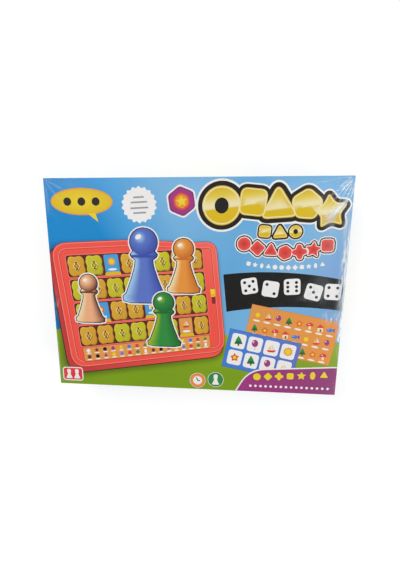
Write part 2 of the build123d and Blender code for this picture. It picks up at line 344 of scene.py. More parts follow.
def mouldedFinish(name, tone, roughness):
    # moulded plastic: faint flow clouds in the colour, a fine spark-eroded skin, soft gloss
    made, tree, shader = newFinish(name)
    flow = grain(tree, mouldedLook["flow"], 2.0, (1, 0.5, 2))
    skin = grain(tree, mouldedLook["spark"], 2.0)
    limits = [roughness + by for by in mouldedLook["roughness"]]
    feed(tree, shader, {"Base Color": tinted(tree, linear(tone), flow, *mouldedLook["flowTone"]),
                        "Roughness": spread(tree, skin, noiseLimits, limits),
                        "Normal": bump(tree, skin, *mouldedLook["bump"])},
         {"Coat Weight": mouldedLook["coat"], "Coat Roughness": mouldedLook["coatRoughness"],
          "Subsurface Weight": mouldedLook["depth"],
          "Subsurface Radius": mouldedLook["depthRadius"]})
    return made


printedPaper = inkFinish()
lidBoard = cardFinish("lid_board", "#E9E7E1", 0.72)
trayBoard = cardFinish("tray_board", "#E4E1D8", 0.78)
pictureCard = cardFinish("picture_card", "#F0EBDD", 0.5)
leafletPaper = cardFinish("leaflet_paper", "#F4F2EC", 0.66)
redPlastic = mouldedFinish("red_plastic", "#E5312C", 0.3)
backPlastic = mouldedFinish("back_plastic", "#D72B29", 0.34)
yellowPlastic = mouldedFinish("yellow_plastic", "#E6CA1C", 0.28)
markPlastic = mouldedFinish("door_mark_plastic", "#B38C16", 0.3)
print("finishes made")


# The print on the lid's face, in millimetres from the face's middle


def boxOf(node):  # a node's lowest and highest corner in millimetres
    return [np.array(corner) * 1000 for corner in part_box(node)]


lidLow, lidHigh = boxOf("box_lid")
face = {"halfWidth": lidHigh[0], "halfHeight": lidHigh[1], "top": lidHigh[2], "round": 0.8,
        "bevel": 0.6}


def onFace(points):  # what runs past the face is trimmed at its edge
    limit = np.array([face["halfWidth"], face["halfHeight"]]) - face["bevel"]
    return np.clip(points, -limit, limit)


# the ground's edge (its height, a long wave and a short one), the dark line over it, and how its
# green deepens downwards and to the right
groundArt = {"height": -58, "wave": (9, 72, 2.3), "ripple": (5, 41), "line": 0.9, "fade": 62,
             "side": (60, 120, 0.35), "blur": 1.5}


def hillLine(x):  # the ground's upper edge: a height, plus a sine, less a shorter cosine
    reach, stretch, start = groundArt["wave"]
    small, short = groundArt["ripple"]
    return groundArt["height"] + reach * np.sin(x / stretch + start) - small * np.cos(x / short)


# the black band: its arch, depth and narrowing, and the dice on it (place and pips)
bandArt = {"top": 24, "middle": 96, "bow": 0.0011, "depth": 47, "narrow": (0.07, 60),
           "dice": ((70, 5), (96, 2), (122, 6), (148, 3), (171, 4)), "die": 20, "diceHeight": 5,
           "hop": 2, "tilt": (7, 0.12)}


def bandBow(x):  # how far the band hangs down at x: a parabola
    return -bandArt["bow"] * (x - bandArt["middle"]) ** 2


def bandEdges(x):  # lower and upper edge of the black band
    arch = bandArt["top"] + bandBow(x)
    slope, level = bandArt["narrow"]
    return arch - bandArt["depth"] + slope * (x - level), arch


# the sky: inks along a slanting rise, then soft patches (ink, middle, reach and strength). Its
# paler upper right is printed sky and in part a painted veil that stands for the film's reflection
skyArt = {"lean": (0.45, 60),
          "ramp": ((-112, "skyDeep"), (-74, "skyMiddle"), (-12, "skySoft")),
          "patches": (
              ("skyPale", (5, 112), (48, 26), 0.24), ("skyMiddle", (72, 108), (26, 34), 0.45),
              ("skyPale", (118, 116), (34, 22), 0.2), ("skyMiddle", (48, 30), (40, 34), 0.35),
              ("skyPale", (158, 78), (30, 40), 0.32), ("periwinkle", (172, 4), (22, 50), 0.5),
              ("skyPale", (120, 20), (30, 30), 0.2), ("skyPale", (-150, 128), (22, 12), 0.12))}


def skyTint(t, x, y):  # deep at the lower left, soft at the upper right, with soft patches
    slope, level = skyArt["lean"]
    tone = stops(*skyArt["ramp"])(x + slope * (y - level))
    for ink, middle, reach, amount in skyArt["patches"]:
        tone = mix(tone, inks[ink], amount * bell(x, y, middle, reach))
    return tone


def groundTint(t, x, y):  # light along its edge, deeper below and to the right
    s = ease((hillLine(x) - y) / groundArt["fade"])
    tone = stops((0, "leafLight"), (0.35, "leaf"), (1, "leafDeep"))(s)
    start, reach, amount = groundArt["side"]
    return mix(tone, inks["leafDeep"], amount * ease((x - start) / reach))


def backTint(t, x, y):
    above = ease((y - hillLine(x)) / groundArt["blur"])
    return mix(groundTint(t, x, y), skyTint(t, x, y), above)


# Shapes and small pictures, one unit high

plainShapes = [oval(0.9, 0.9, 18), softened(oblong(0.8, 0.8), 0.2),
               softened(spokes(3, [0.56]), 0.16), softened(spokes(4, [0.54]), 0.1),
               softened(spokes(10, [0.56, 0.27]), 0.08), softened(spokes(6, [0.5]), 0.1),
               softened(spokes(12, [0.52, 0.52, 0.3], 75), 0.1), oval(0.62, 0.98, 18)]
# each picture from back to front: outline, ink, layer and middle
smallPictures = {
    "sun": [(softened(spokes(20, [0.5, 0.34]), 0.05), "orange", 0, (0, 0)),
            (oval(0.56, 0.56, 20), "sun", 1, (0, 0))],
    "tree": [(oblong(0.14, 0.4), "brown", 0, (0, -0.28)),
             (softened(spokes(3, [0.5]), 0.12), "greenDeep", 1, (0, -0.04)),
             (softened(spokes(3, [0.36]), 0.1), "green", 2, (0, 0.2))],
    "house": [(softened(oblong(0.66, 0.5), 0.05), "cream", 0, (0, -0.2)),
              (softened([(0.5, 0), (0, 0.46), (-0.5, 0)], 0.06), "red", 1, (0, 0.02)),
              (oblong(0.18, 0.28), "brown", 2, (0.04, -0.3))],
    "boat": [(softened([(0.26, 0), (0.48, 0.22), (-0.48, 0.22), (-0.26, 0)], 0.05), "red", 0,
              (0, -0.42)),
             (softened([(0.36, 0), (0.02, 0.6), (0.02, 0)], 0.04), "pearl", 1, (0, -0.14)),
             (softened([(-0.06, 0), (-0.06, 0.46), (-0.34, 0)], 0.04), "sun", 1, (0, -0.14))],
    "flower": [(softened(spokes(10, [0.5, 0.24]), 0.2, 4), "flame", 0, (0, 0)),
               (oval(0.34, 0.34, 18), "sun", 1, (0, 0))],
    "fish": [(softened([(0.1, 0), (0.5, 0.26), (0.42, 0), (0.5, -0.26)], 0.06), "blueDeep", 0,
              (0, 0)),
             (oval(0.72, 0.46, 22), "blue", 1, (-0.12, 0)),
             (oval(0.1, 0.1, 10), "white", 2, (-0.28, 0.06))],
    "balloon": [(oblong(0.04, 0.5), "grey", 0, (0, -0.3)),
                (oval(0.6, 0.72, 22), "purple", 1, (0, 0.12)),
                (placed(oval(0.14, 0.2, 12), turn=-20), "pearl", 2, (-0.13, 0.26))],
    "mushroom": [(softened(oblong(0.26, 0.5), 0.1), "cream", 0, (0, -0.22)),
                 (softened([(0.46, 0), (0.34, 0.34), (0, 0.5), (-0.34, 0.34), (-0.46, 0)], 0.12),
                  "red", 1, (0, -0.04)),
                 (oval(0.16, 0.14, 12), "white", 2, (-0.1, 0.2))]}
# a card cell's round, and its tag and picture in shares of the cell
cellArt = {"round": 1.6, "tag": (0.62, 0.16), "tagDrop": 0.36, "picture": 0.62, "lift": 0.09}


def plainShape(k):
    return plainShapes[k % len(plainShapes)]


def pictureName(k):
    return list(smallPictures)[k % len(smallPictures)]


def smallPicture(sheet, name, at, size, level):
    for outline, tone, step, middle in smallPictures[name]:
        stamp(sheet, placed(outline, middle), tone, level + step, at, 0, size)


def pictureCell(sheet, at, width, height, name, tone, level):
    # a card cell: its ground, one small picture and a white tag
    short = min(width, height)
    stamp(sheet, softened(oblong(width, height), cellArt["round"]), tone, level, at)
    smallPicture(sheet, name, (at[0], at[1] + cellArt["lift"] * height),
                 cellArt["picture"] * short, level + 1)
    tag = oval(cellArt["tag"][0] * width, cellArt["tag"][1] * short, 20)
    stamp(sheet, tag, "white", level + 1, (at[0], at[1] - cellArt["tagDrop"] * height))


# The picture of the game board: drawn straight on a sheet of its own, then tapered and turned

boardArt = {"at": (-62, -20), "turn": 6.0, "size": 0.9, "keystone": 0.0006, "centre": -3,
            "half": (116.0, 84.0), "rise": 8.0, "slope": (83, -7), "round": 22.0,
            "shell": (-4.5, -6.0), "shellGrowth": 1.5, "outline": 1.1, "edge": 0.7,
            "shadow": {"depth": 0.38, "reach": (-3, 12), "shift": (-2, -1)},
            "lines": ((-1.4, -0.3, "coralLight"), (-8.2, -7.2, "coralLight"),
                      (-9.1, -8.2, "coralDeep"))}


def boardWarp(points):  # x and y over 1 + k x, then turned and put in place
    depth = 1 + boardArt["keystone"] * points[:, :1]
    return onFace(placed(points / depth, boardArt["at"], boardArt["turn"], boardArt["size"]))


def boardLocal(x, y):  # back from the face to the board picture's own millimetres
    flat = placed(np.stack([x, y], 1) - boardArt["at"], (0, 0), -boardArt["turn"],
                  1 / boardArt["size"])
    return flat / (1 - boardArt["keystone"] * flat[:, :1])


def boardBody(sheet):  # shadow, back shell, front shell and the moulded lines round its face
    w, h = boardArt["half"]
    right, left = boardArt["slope"]
    top = h + boardArt["rise"]
    corners = [(w, -h), (w, h), (right, h), (left, top), (-w, top), (-w, -h)]
    outline = evened(softened(corners, boardArt["round"], 12), 360)
    shell = grown(outline, boardArt["shellGrowth"]) + boardArt["shell"]
    shadow = boardArt["shadow"]
    inner, outer = (grown(shell, by) for by in shadow["reach"])

    def shadowTint(t, x, y):
        under = backTint(t, x, y)
        return mix(under * shadow["depth"], under, ease(t))

    strip(sheet, inner, outer + shadow["shift"], shadowTint, 3, 8, True)
    stamp(sheet, grown(shell, boardArt["outline"]), "ink", 4)
    fill(sheet, shell, lambda t, x, y: inkMix("coralDeep", "coral", (x + 150) / 160), 5)
    stamp(sheet, grown(outline, boardArt["edge"]), "coralShade", 6)
    fill(sheet, outline, lambda t, x, y: inkMix("coral", "coralLight",
                                                0.45 * ease((x + y + 20) / 150)), 7, 6)
    for inner, outer, tone in boardArt["lines"]:
        rim(sheet, outline, inner, outer, tone, 8)


doorArt = {"size": (21.0, 26.0), "pitch": (24.0, 33.0), "first": 60, "round": 4.6,
           "points": 64, "wave": 0.45, "shade": (0.6, -0.8), "light": 0.055,
           "mark": (5.0, 7.4), "flap": [(11.5, 0), (10, 4.5), (-10, 4.5), (-11.5, 0)],
           "window": (1, 4), "lip": 0.8,
           "open": {(0, 2): ("sun", "skyMiddle"), (1, 6): ("fish", "card"),
                    (2, 1): ("flower", "skyMiddle"), (2, 4): ("house", "skyMiddle"),
                    (3, 6): ("boat", "card")}}
doorRamps = {"lime": stops((-1, "limeDeep"), (0, "lime"), (1, "limeLight")),
             "gold": stops((-1, "goldMiddle"), (0, "gold"), (1, "goldLight"))}


def closedDoor(sheet, at, ramp):  # a waved plate with a raised diamond, each over its shade
    count = doorArt["points"]
    door = evened(softened(oblong(*doorArt["size"]), doorArt["round"], 6), count)
    door = grown(door, doorArt["wave"] * np.cos(np.arange(count) * np.pi / 4)[:, None])
    mark = softened(spokes(4, doorArt["mark"], 0), 1)

    def tint(t, x, y):  # lighter where it faces up and left, darker down and right
        side = (boardLocal(x, y) - at) @ (doorArt["light"] * np.array([[-1], [1]]))
        return ramp(side[:, 0] * (0.25 + 0.9 * (t > 0.9)))

    stamp(sheet, door, "goldDeep", 9, at + doorArt["shade"])
    fill(sheet, placed(door, at), tint, 10, 6)
    stamp(sheet, mark, "goldDeep", 11, at + doorArt["shade"])
    fill(sheet, placed(mark, at), tint, 12)
    rim(sheet, placed(mark, at), -2.6, -1.5, "goldDeep", 13)
    rim(sheet, placed(mark, at), -0.9, -0.2, "cream", 13)


def boardDoors(sheet):  # four windows of eight doors, and a picture where a door is open
    width, height = doorArt["size"]
    across, down = doorArt["pitch"]
    wider, taller = doorArt["window"]
    window = softened(oblong(8 * across + wider, height + taller), 4, 5)
    for row in range(4):
        middle = doorArt["first"] - row * down
        stamp(sheet, window, "recess", 8, (boardArt["centre"], middle))
        rim(sheet, placed(window, (boardArt["centre"], middle)), 0, doorArt["lip"],
            "coralLight", 8)
        for column in range(8):
            at = np.array([boardArt["centre"] + (column - 3.5) * across, middle])
            if (row, column) in doorArt["open"]:
                name, tone = doorArt["open"][row, column]
                pictureCell(sheet, at + (0, 1.5), width - 1, height - 2, name, tone, 9)
                stamp(sheet, softened(doorArt["flap"], 1), "yellow", 12,
                      at - (0, height / 2 + 2))
            else:
                isGold = (row * 3 + column * 5) % 7 < 3
                closedDoor(sheet, at, doorRamps["gold" if isGold else "lime"])


stripArt = {"cell": (11.7, 9.4), "bottom": -75.5, "lift": 0.8, "mark": 6.2, "tag": (7.4, 1.7),
            "tagDrop": 4.1, "edge": 0.7,
            "inks": ("brown", "sun", "green", "black", "blue", "white", "purple", "red")}


def boardStrip(sheet):  # two rows of sixteen marks, each over a white tag
    width, height = stripArt["cell"]
    middle = (boardArt["centre"], stripArt["bottom"] + height)
    area = softened(oblong(16 * width + 4, 2 * height + 3), 3, 5)
    stamp(sheet, area, "coralDeep", 8, middle)
    stamp(sheet, grown(placed(area, middle), -stripArt["edge"]), "card", 9)
    for row in range(2):
        for column in range(16):
            x = boardArt["centre"] + (column - 7.5) * width
            y = stripArt["bottom"] + (0.5 + row) * height + stripArt["lift"]
            tone = stripArt["inks"][(column * 3 + row * 5) % 8]
            stamp(sheet, plainShape(column + 3 * row), tone, 10, (x, y), 0, stripArt["mark"])
            stamp(sheet, oval(*stripArt["tag"], 16), "white", 11, (x, y - stripArt["tagDrop"]))


# the slot, the knob in it and the knob's line: size, round, steps, ink and height
sliderArt = {"x": 104, "parts": (((5.5, 24), 2.5, 5, "coralShade", 4),
                                 ((7, 12), 1.5, 4, "sun", 9), ((7, 1.6), 0, 0, "yellowDeep", 5.6))}


def boardSlider(sheet):
    for k, (size, radius, steps, tone, y) in enumerate(sliderArt["parts"]):
        outline = softened(oblong(*size), radius, steps) if steps else oblong(*size)
        stamp(sheet, outline, tone, 8 + k, (sliderArt["x"], y))


def boardPicture():
    sheet = newPrint(boardWarp)
    for drawPart in (boardBody, boardDoors, boardStrip, boardSlider):
        drawPart(sheet)
    return sheet


# Playing pawns, drawn as turned pieces with light from the left; sizes in shares of the height

pawnHeights = np.array([0, 0.02, 0.09, 0.13, 0.2, 0.34, 0.5, 0.6, 0.64, 0.67, 0.7, 0.74])
pawnWidths = np.array([0.20, 0.30, 0.31, 0.26, 0.235, 0.18, 0.13, 0.115, 0.17, 0.185, 0.16, 0.1])
pawnArt = {"top": 1.025, "headMiddle": 0.84, "headRadius": 0.185, "collar": (0.63, 0.665),
           "halo": 2.6, "line": 1.1}


def pawnProfile(height, margin, count=110):
    # half width at each height: body or head, whichever is wider, then the widest reach of
    # circles of the margin's radius set along it
    at = np.linspace(0, pawnArt["top"], 200)
    body = np.where(at <= pawnHeights[-1], np.interp(at, pawnHeights, pawnWidths), 0)
    head = pawnArt["headRadius"] ** 2 - (at - pawnArt["headMiddle"]) ** 2
    half, at = np.maximum(body, np.sqrt(np.maximum(head, 0))) * height, at * height
    v = np.linspace(-margin, at[-1] + margin, count)
    room = margin ** 2 - (v[:, None] - at) ** 2
    reach = np.where(room >= 0, half + np.sqrt(np.maximum(room, 0)), 0)
    return np.maximum(reach.max(1), np.interp(v, at, half, 0, 0)), v


def upright(sheet, at, profile, tint, level, rows=1):  # a shape alike on both sides of a line
    half, v = profile
    strip(sheet, line(at[0] - half, at[1] + v), line(at[0] + half, at[1] + v), tint, level, rows)


def pawnSlice(low, high, count, height):  # the body's profile between two heights
    v = np.linspace(low, high, count)
    return np.interp(v, pawnHeights, pawnWidths) * height, v * height


def pawn(sheet, at, height, tones, level):
    dark, plain, light = tones
    upright(sheet, at, pawnProfile(height, pawnArt["halo"]), inks["white"], level)
    upright(sheet, at, pawnProfile(height, pawnArt["line"]), inks["ink"], level + 1)
    roundTone = stops((0, light), (0.3, plain), (0.62, plain), (1, dark))
    upright(sheet, at, pawnSlice(0, pawnHeights[-1], 40, height),
            lambda t, x, y: roundTone(t), level + 2, 12)
    upright(sheet, at, pawnSlice(*pawnArt["collar"], 4, height), inks[dark], level + 2.5)
    middle = np.array([at[0], at[1] + pawnArt["headMiddle"] * height])

    def headTone(t, x, y):  # round a bright spot up and left of the head's middle
        away = np.hypot(x - middle[0] + 0.05 * height, y - middle[1] - 0.06 * height)
        return stops((0, light), (0.35, plain), (1, dark))(away / (0.24 * height))

    head = oval(2 * pawnArt["headRadius"], 2 * pawnArt["headRadius"], 56)
    fill(sheet, placed(head, middle, 0, height), headTone, level + 3, 10)
    glint = placed(oval(0.09, 0.06, 18), (-0.07, 0.07), 30)
    stamp(sheet, glint, "white", level + 4, middle, 0, height)


def whitePawn(sheet, at, height, level):
    upright(sheet, at, pawnProfile(height, 0.02 * height, 60), inks["white"], level)


# The headline: shape, middle, size and turn, and the red chips' shapes and middles

headline = [("ring", 34, 103, 46, 4), ("tile", 71, 107, 34, -6), ("peak", 101, 102, 44, 4),
            ("pentagon", 133, 104, 36, -4), ("star", 160, 96, 36, 8)]
smallHeadline = [("tile", 86, 73, 15, -5), ("peak", 104, 71, 18, 4), ("ring", 122, 73, 15, 0)]
headlineOutlines = {
    "ring": oval(1, 1, 96), "tile": softened(oblong(0.94, 0.94), 0.26, 12),
    "peak": softened(spokes(3, [0.62]), 0.26, 16),
    "pentagon": softened(spokes(5, [0.56]), 0.2, 12),
    "star": softened(spokes(10, [0.6, 0.33]), 0.12, 9)}
redHeadline = [(0, 62, 58), (3, 78, 53), (2, 94, 50), (5, 111, 48), (6, 128, 49), (4, 144, 52),
               (1, 160, 57)]
# borders grow with the shape; each neighbour lies a step higher, because they overlap
chrome = {"halo": 0.17, "line": 0.115, "shine": (-0.055, -0.025), "hole": (0.36, 0.4),
          "lean": 0.12, "step": 0.2}
chip = {"size": 17.5, "borders": ((3.8, "white"), (2.5, "ink"), (1.0, "white")), "step": 0.12}


def chromeTint(at, size):  # saturated below, a pale band in the middle, deep at the top
    ramp = stops((-0.5, "yellow"), (-0.09, "yellow"), (-0.05, "cream"), (0.04, "cream"),
                 (0.24, "yellowLight"), (0.5, "yellowDeep"))
    return lambda t, x, y: ramp((y - at[1] - chrome["lean"] * (x - at[0])) / size)


def headlineShapes(sheet, shapes, level, scale=1.0, shift=(0, 0)):
    for k, (kind, x, y, size, turn) in enumerate(shapes):
        at = (shift[0] + scale * x, shift[1] + scale * y)
        size = scale * size
        outline = placed(headlineOutlines[kind], at, turn, size)
        step = chrome["step"] * k
        stamp(sheet, grown(outline, chrome["halo"] * size), "white", level + step)
        stamp(sheet, grown(outline, chrome["line"] * size), "ink", level + 1 + step)
        fill(sheet, outline, chromeTint(at, size), level + 2 + step, 22)
        inner, outer = (share * size for share in chrome["shine"])
        rim(sheet, outline, inner, outer, "cream", level + 3 + step)
        if kind == "ring":
            stamp(sheet, oval(*chrome["hole"], 40), "ink", level + 3 + step, at, 0, size)


def redChips(sheet, level):
    for k, (kind, x, y) in enumerate(redHeadline):
        outline = placed(plainShapes[kind], (x, y), 8 * math.sin(x), chip["size"])
        step = chip["step"] * k
        for border, (by, tone) in enumerate(chip["borders"]):
            stamp(sheet, grown(outline, by), tone, level + border + step)
        fill(sheet, outline, lambda t, x, y: inkMix("coralDeep", "coral", t), level + 3 + step, 3)


# Dice and badges, with sizes in shares of their own

pipPlaces = {2: [(-1, 1), (1, -1)], 3: [(-1, 1), (0, 0), (1, -1)],
             4: [(-1, 1), (1, 1), (-1, -1), (1, -1)],
             5: [(-1, 1), (1, 1), (0, 0), (-1, -1), (1, -1)],
             6: [(-1, 1), (1, 1), (-1, 0), (1, 0), (-1, -1), (1, -1)]}
dieArt = {"round": 0.22, "pip": 0.19, "spread": 0.26}
burstArt = {"points": 36, "radii": (0.5, 0.43), "bar": 0.045, "turn": 3,
            "bars": ((0.2, 0.3), (0.07, 0.46), (-0.08, 0.5), (-0.21, 0.36))}
hexArt = ((0.56, "white"), (0.5, "purpleDeep"), (0.44, "purple"), (0.3, "flame"), (0.24, "orange"))
# the bubble is in mm, but for the heights of its tail's corners, which are shares of its own
bubbleArt = {"tail": ((4, -0.4), (16, -0.36), (20, -0.82)), "border": 1.3,
             "dots": (-18, 0, 18), "dot": 10}


def dice(sheet, at, size, pips, turn, level):
    stamp(sheet, softened(oblong(1, 1), dieArt["round"], 7), "white", level, at, turn, size)
    for x, y in pipPlaces[pips]:
        spot = (dieArt["spread"] * x, dieArt["spread"] * y)
        stamp(sheet, placed(oval(dieArt["pip"], dieArt["pip"], 16), spot), "ink", level + 1, at,
              turn, size)


def starburst(sheet, at, size, level):  # a toothed disc with bars on it
    teeth = softened(spokes(burstArt["points"], burstArt["radii"]), 0.03, 4)
    stamp(sheet, teeth, "white", level, at, 0, size)
    for y, width in burstArt["bars"]:
        bar = softened(oblong(width, burstArt["bar"]), 0.02)
        stamp(sheet, placed(bar, (0, y)), "grey", level + 1, at, burstArt["turn"], size)


def bubble(sheet, at, width, height, level):
    body = oval(width, height, 96)
    tail = softened([(x, height * share) for x, share in bubbleArt["tail"]], 1, 4)
    stamp(sheet, grown(tail, bubbleArt["border"]), "orange", level, at)
    stamp(sheet, grown(body, bubbleArt["border"]), "orange", level + 0.5, at)
    stamp(sheet, tail, "sun", level + 1, at)
    fill(sheet, placed(body, at), lambda t, x, y: inkMix("sun", "yellow", t), level + 1.5, 6)
    for x in bubbleArt["dots"]:
        stamp(sheet, oval(bubbleArt["dot"], bubbleArt["dot"], 28), "ink", level + 2.5,
              (at[0] + x, at[1]))


def ringedBadge(sheet, at, size, dark, light, level):
    for k, (diameter, tone) in enumerate(((1.0, "white"), (0.94, dark), (0.84, light))):
        stamp(sheet, oval(diameter, diameter, 64), tone, level + k, at, 0, size)


def hexToken(sheet, at, size, level):
    for k, (radius, tone) in enumerate(hexArt):
        stamp(sheet, softened(spokes(6, [radius]), 0.1, 6), tone, level + k, at, 8, size)
    stamp(sheet, plainShapes[4], "sun", level + len(hexArt), at, 8, 0.34 * size)


# The whole face, one piece for each layer of the artwork


def skySheet():
    sheet = newPrint()
    width, height = face["halfWidth"] - face["bevel"], face["halfHeight"] - face["bevel"]
    x = np.linspace(-width, width, 150)
    strip(sheet, line(x, -height), line(x, height), skyTint, 0, 110)
    x = np.linspace(x[0], x[-1], 240)
    hill = line(x, hillLine(x))
    strip(sheet, line(x, -height), hill, groundTint, 1, 12)
    strip(sheet, hill, hill + (0, groundArt["line"]), inks["leafDeep"], 1)
    x = np.linspace(0, x[-1], 90)
    low, high = bandEdges(x)
    strip(sheet, line(x, low), line(x, high), inks["black"], 2)
    tilt, lean = bandArt["tilt"]
    for k, (px, pips) in enumerate(bandArt["dice"]):
        hop = bandArt["hop"] * (-1) ** k
        dice(sheet, (px, bandArt["diceHeight"] + bandBow(px) + hop), bandArt["die"], pips,
             tilt * (-1) ** k - lean * (px - bandArt["middle"]), 3)
    return sheet


# two turned picture cards: middle, size, columns and rows, their pitch, and the top row
cardArt = {"turn": -11,
           "back": {"at": (124, -56), "size": (112, 58), "cells": (8, 3), "pitch": (13.2, 18),
                    "top": 17, "picture": 10.5, "tag": (9, 2.4), "tagShift": (-1.4, -7.4)},
           "front": {"at": (88, -84), "size": (92, 52), "cells": (4, 2), "pitch": (21.5, 23),
                     "top": 12, "picture": 13.5, "cell": (18.5, 20), "round": 4}}


def cellPlaces(card):  # column, row and middle of each cell of a turned card
    columns, rows = card["cells"]
    across, down = card["pitch"]
    for row in range(rows):
        for column in range(columns):
            flat = np.array([((column - (columns - 1) / 2) * across, card["top"] - row * down)])
            yield column, row, placed(flat, card["at"], cardArt["turn"])[0]


def cardPictures(sheet):
    turn, back, front = cardArt["turn"], cardArt["back"], cardArt["front"]
    outline = placed(oblong(*back["size"]), back["at"], turn)
    stamp(sheet, grown(outline, 0.5), "orangeDeep", 3)
    fill(sheet, outline, lambda t, x, y: inkMix("card", "orange", (x - 60) / 120), 4, 2)
    for column, row, at in cellPlaces(back):
        smallPicture(sheet, pictureName(column * 3 + row), at, back["picture"], 5)
        stamp(sheet, oval(*back["tag"], 18), "white", 5, at + back["tagShift"], turn)
    outline = placed(oblong(*front["size"]), front["at"], turn)
    stamp(sheet, grown(outline, 0.6), "blueDeep", 8)
    fill(sheet, outline, lambda t, x, y: inkMix("blue", "denim", (x - 50) / 70), 9, 2)
    cell = softened(oblong(*front["cell"]), front["round"], 5)
    for column, row, at in cellPlaces(front):
        stamp(sheet, cell, "white", 10, at, turn)
        smallPicture(sheet, pictureName(column * 5 + row * 3 + 1), at, front["picture"], 11)


# the purple banner: corners, then its row of shapes and its row of dots (start and pitch)
bannerArt = {"corners": [(200, -150), (200, -97), (74, -106), (50, -150)], "round": 20,
             "border": 1.8, "shapes": (84, -114.5), "shapePitch": (14.2, 0.9), "shape": 11,
             "shapeBorder": 0.9, "dots": (76, -127.5), "dotPitch": 6.6, "dot": 3.4}


def banner(sheet):
    outline = softened(bannerArt["corners"], bannerArt["round"], 12)
    stamp(sheet, grown(outline, bannerArt["border"]), "white", 14)
    fill(sheet, outline, lambda t, x, y: inkMix("purple", "purpleDeep", (x - 60) / 160), 15)
    for k in range(7):
        at = (bannerArt["shapes"][0] + bannerArt["shapePitch"][0] * k,
              bannerArt["shapes"][1] + bannerArt["shapePitch"][1] * k)
        outline = placed(plainShape(k * 3), at, 0, bannerArt["shape"])
        stamp(sheet, grown(outline, bannerArt["shapeBorder"]), "purpleDeep", 16)
        stamp(sheet, outline, "sun", 17)
    x, y = bannerArt["dots"]
    for k in range(16):
        stamp(sheet, oval(bannerArt["dot"], bannerArt["dot"], 14), "white", 16,
              (x + bannerArt["dotPitch"] * k, y))


badgeArt = {"size": 21, "pawn": (30, -121), "clock": (6, -123), "dial": 12,
            "hands": ((20, 4.4), (-100, 3.2)), "hand": 1.3, "pair": (-166, -121),
            "tab": (26, 17), "tabBorder": 1.4, "bubble": ((-138, 108), 76, 30),
            "burst": ((-66, 104), 45), "token": ((-14, 108), 36)}


def lowBadges(sheet):  # a pawn, a clock, and a tab with a pair of pawns
    x, y = badgeArt["pawn"]
    ringedBadge(sheet, (x, y), badgeArt["size"], "greenDeep", "green", 4)
    whitePawn(sheet, (x, y - 7), 14, 7)
    ringedBadge(sheet, badgeArt["clock"], badgeArt["size"], "flame", "orange", 4)
    stamp(sheet, oval(badgeArt["dial"], badgeArt["dial"], 32), "white", 7, badgeArt["clock"])
    for turn, length in badgeArt["hands"]:
        hand = placed(oblong(badgeArt["hand"], length), (0, length / 2))
        stamp(sheet, hand, "ink", 8, badgeArt["clock"], turn)
    tab = softened(oblong(*badgeArt["tab"]), 3, 5)
    stamp(sheet, grown(tab, badgeArt["tabBorder"]), "white", 9, badgeArt["pair"])
    stamp(sheet, tab, "red", 10, badgeArt["pair"])
    for side in (-5.5, 5.5):
        whitePawn(sheet, (badgeArt["pair"][0] + side, badgeArt["pair"][1] - 6.5), 13, 11)


def cornerSheet():
    sheet = newPrint(onFace)
    cardPictures(sheet)
    banner(sheet)
    lowBadges(sheet)
    bubble(sheet, *badgeArt["bubble"], 2)
    starburst(sheet, *badgeArt["burst"], 2)
    hexToken(sheet, *badgeArt["token"], 2)
    return sheet


# a sagging row of white shapes under the headline: start, pitch, sag, tilt and size
whiteRow = {"count": 12, "start": (68, 30), "pitch": 8, "sag": 0.14, "tilt": 2, "size": 6.4}


def headlineSheet():
    sheet = newPrint(onFace)
    headlineShapes(sheet, headline, 9)
    headlineShapes(sheet, smallHeadline, 11)
    redChips(sheet, 12)
    for k in range(whiteRow["count"]):
        off = k - (whiteRow["count"] - 1) / 2
        at = (whiteRow["start"][0] + whiteRow["pitch"] * k,
              whiteRow["start"][1] + whiteRow["sag"] * off ** 2)
        stamp(sheet, plainShape(k * 3 + 1), "white", 9, at, whiteRow["tilt"] * off,
              whiteRow["size"])
    return sheet


# each pawn: foot, height, its dark, plain and light ink, and layer
pawns = [((-136, -46), 62, ("brown", "peach", "cream"), 14),
         ((-62, -18), 92, ("blueDeep", "denim", "skyPale"), 14),
         ((-12, -4), 66, ("orangeDeep", "orange", "cream"), 14),
         ((-38, -76), 70, ("greenDeep", "green", "leafLight"), 18)]


def pawnSheet():
    sheet = newPrint(onFace)
    for at, height, tones, level in pawns:
        pawn(sheet, at, height, tones, level)
    return sheet


for name, sheet in (("face_print_ground", skySheet()), ("face_print_board", boardPicture()),
                    ("face_print_corners", cornerSheet()),
                    ("face_print_headline", headlineSheet()), ("face_print_pawns", pawnSheet())):
    pressed(name, sheet, (0, 0, face["top"]), (1, 0, 0), (0, 1, 0), "lid")
    print("printed", name, sheet["count"], "points")


# The papers that wrap the lid and the tray: a profile carried round a rounded outline


def roundedOutline(halfWidth, halfHeight, radius, perCorner, perSide=150):
    # arcs of the corner round, each joined to the next by points along a straight run
    w, h, r = halfWidth - radius, halfHeight - radius, radius
    a = np.linspace(0, np.pi / 2, perCorner)
    arcs = [line(cx + r * np.cos(a + k * np.pi / 2), cy + r * np.sin(a + k * np.pi / 2))
            for k, (cx, cy) in enumerate(((w, h), (-w, h), (-w, -h), (w, -h)))]
    parts = []
    for arc, after in zip(arcs, arcs[1:] + arcs[:1]):
        parts += [arc, np.linspace(arc[-1], after[0], perSide + 2)[1:-1]]
    return np.vstack(parts)


# offsets and edges in mm; step parts two heights where a colour changes at once
wrap = {"offset": 0.02, "turnIn": 0.8, "grass": 13.0, "bleed": 1.2, "board": 1.5,
        "inside": 15.0, "wave": 0.8, "step": 0.02, "skyDrop": 0.8, "bandFrom": 100,
        "bannerTop": -102, "bannerLeft": (57, 0.4, 136), "trayTone": (0.35, 0.25, 48)}


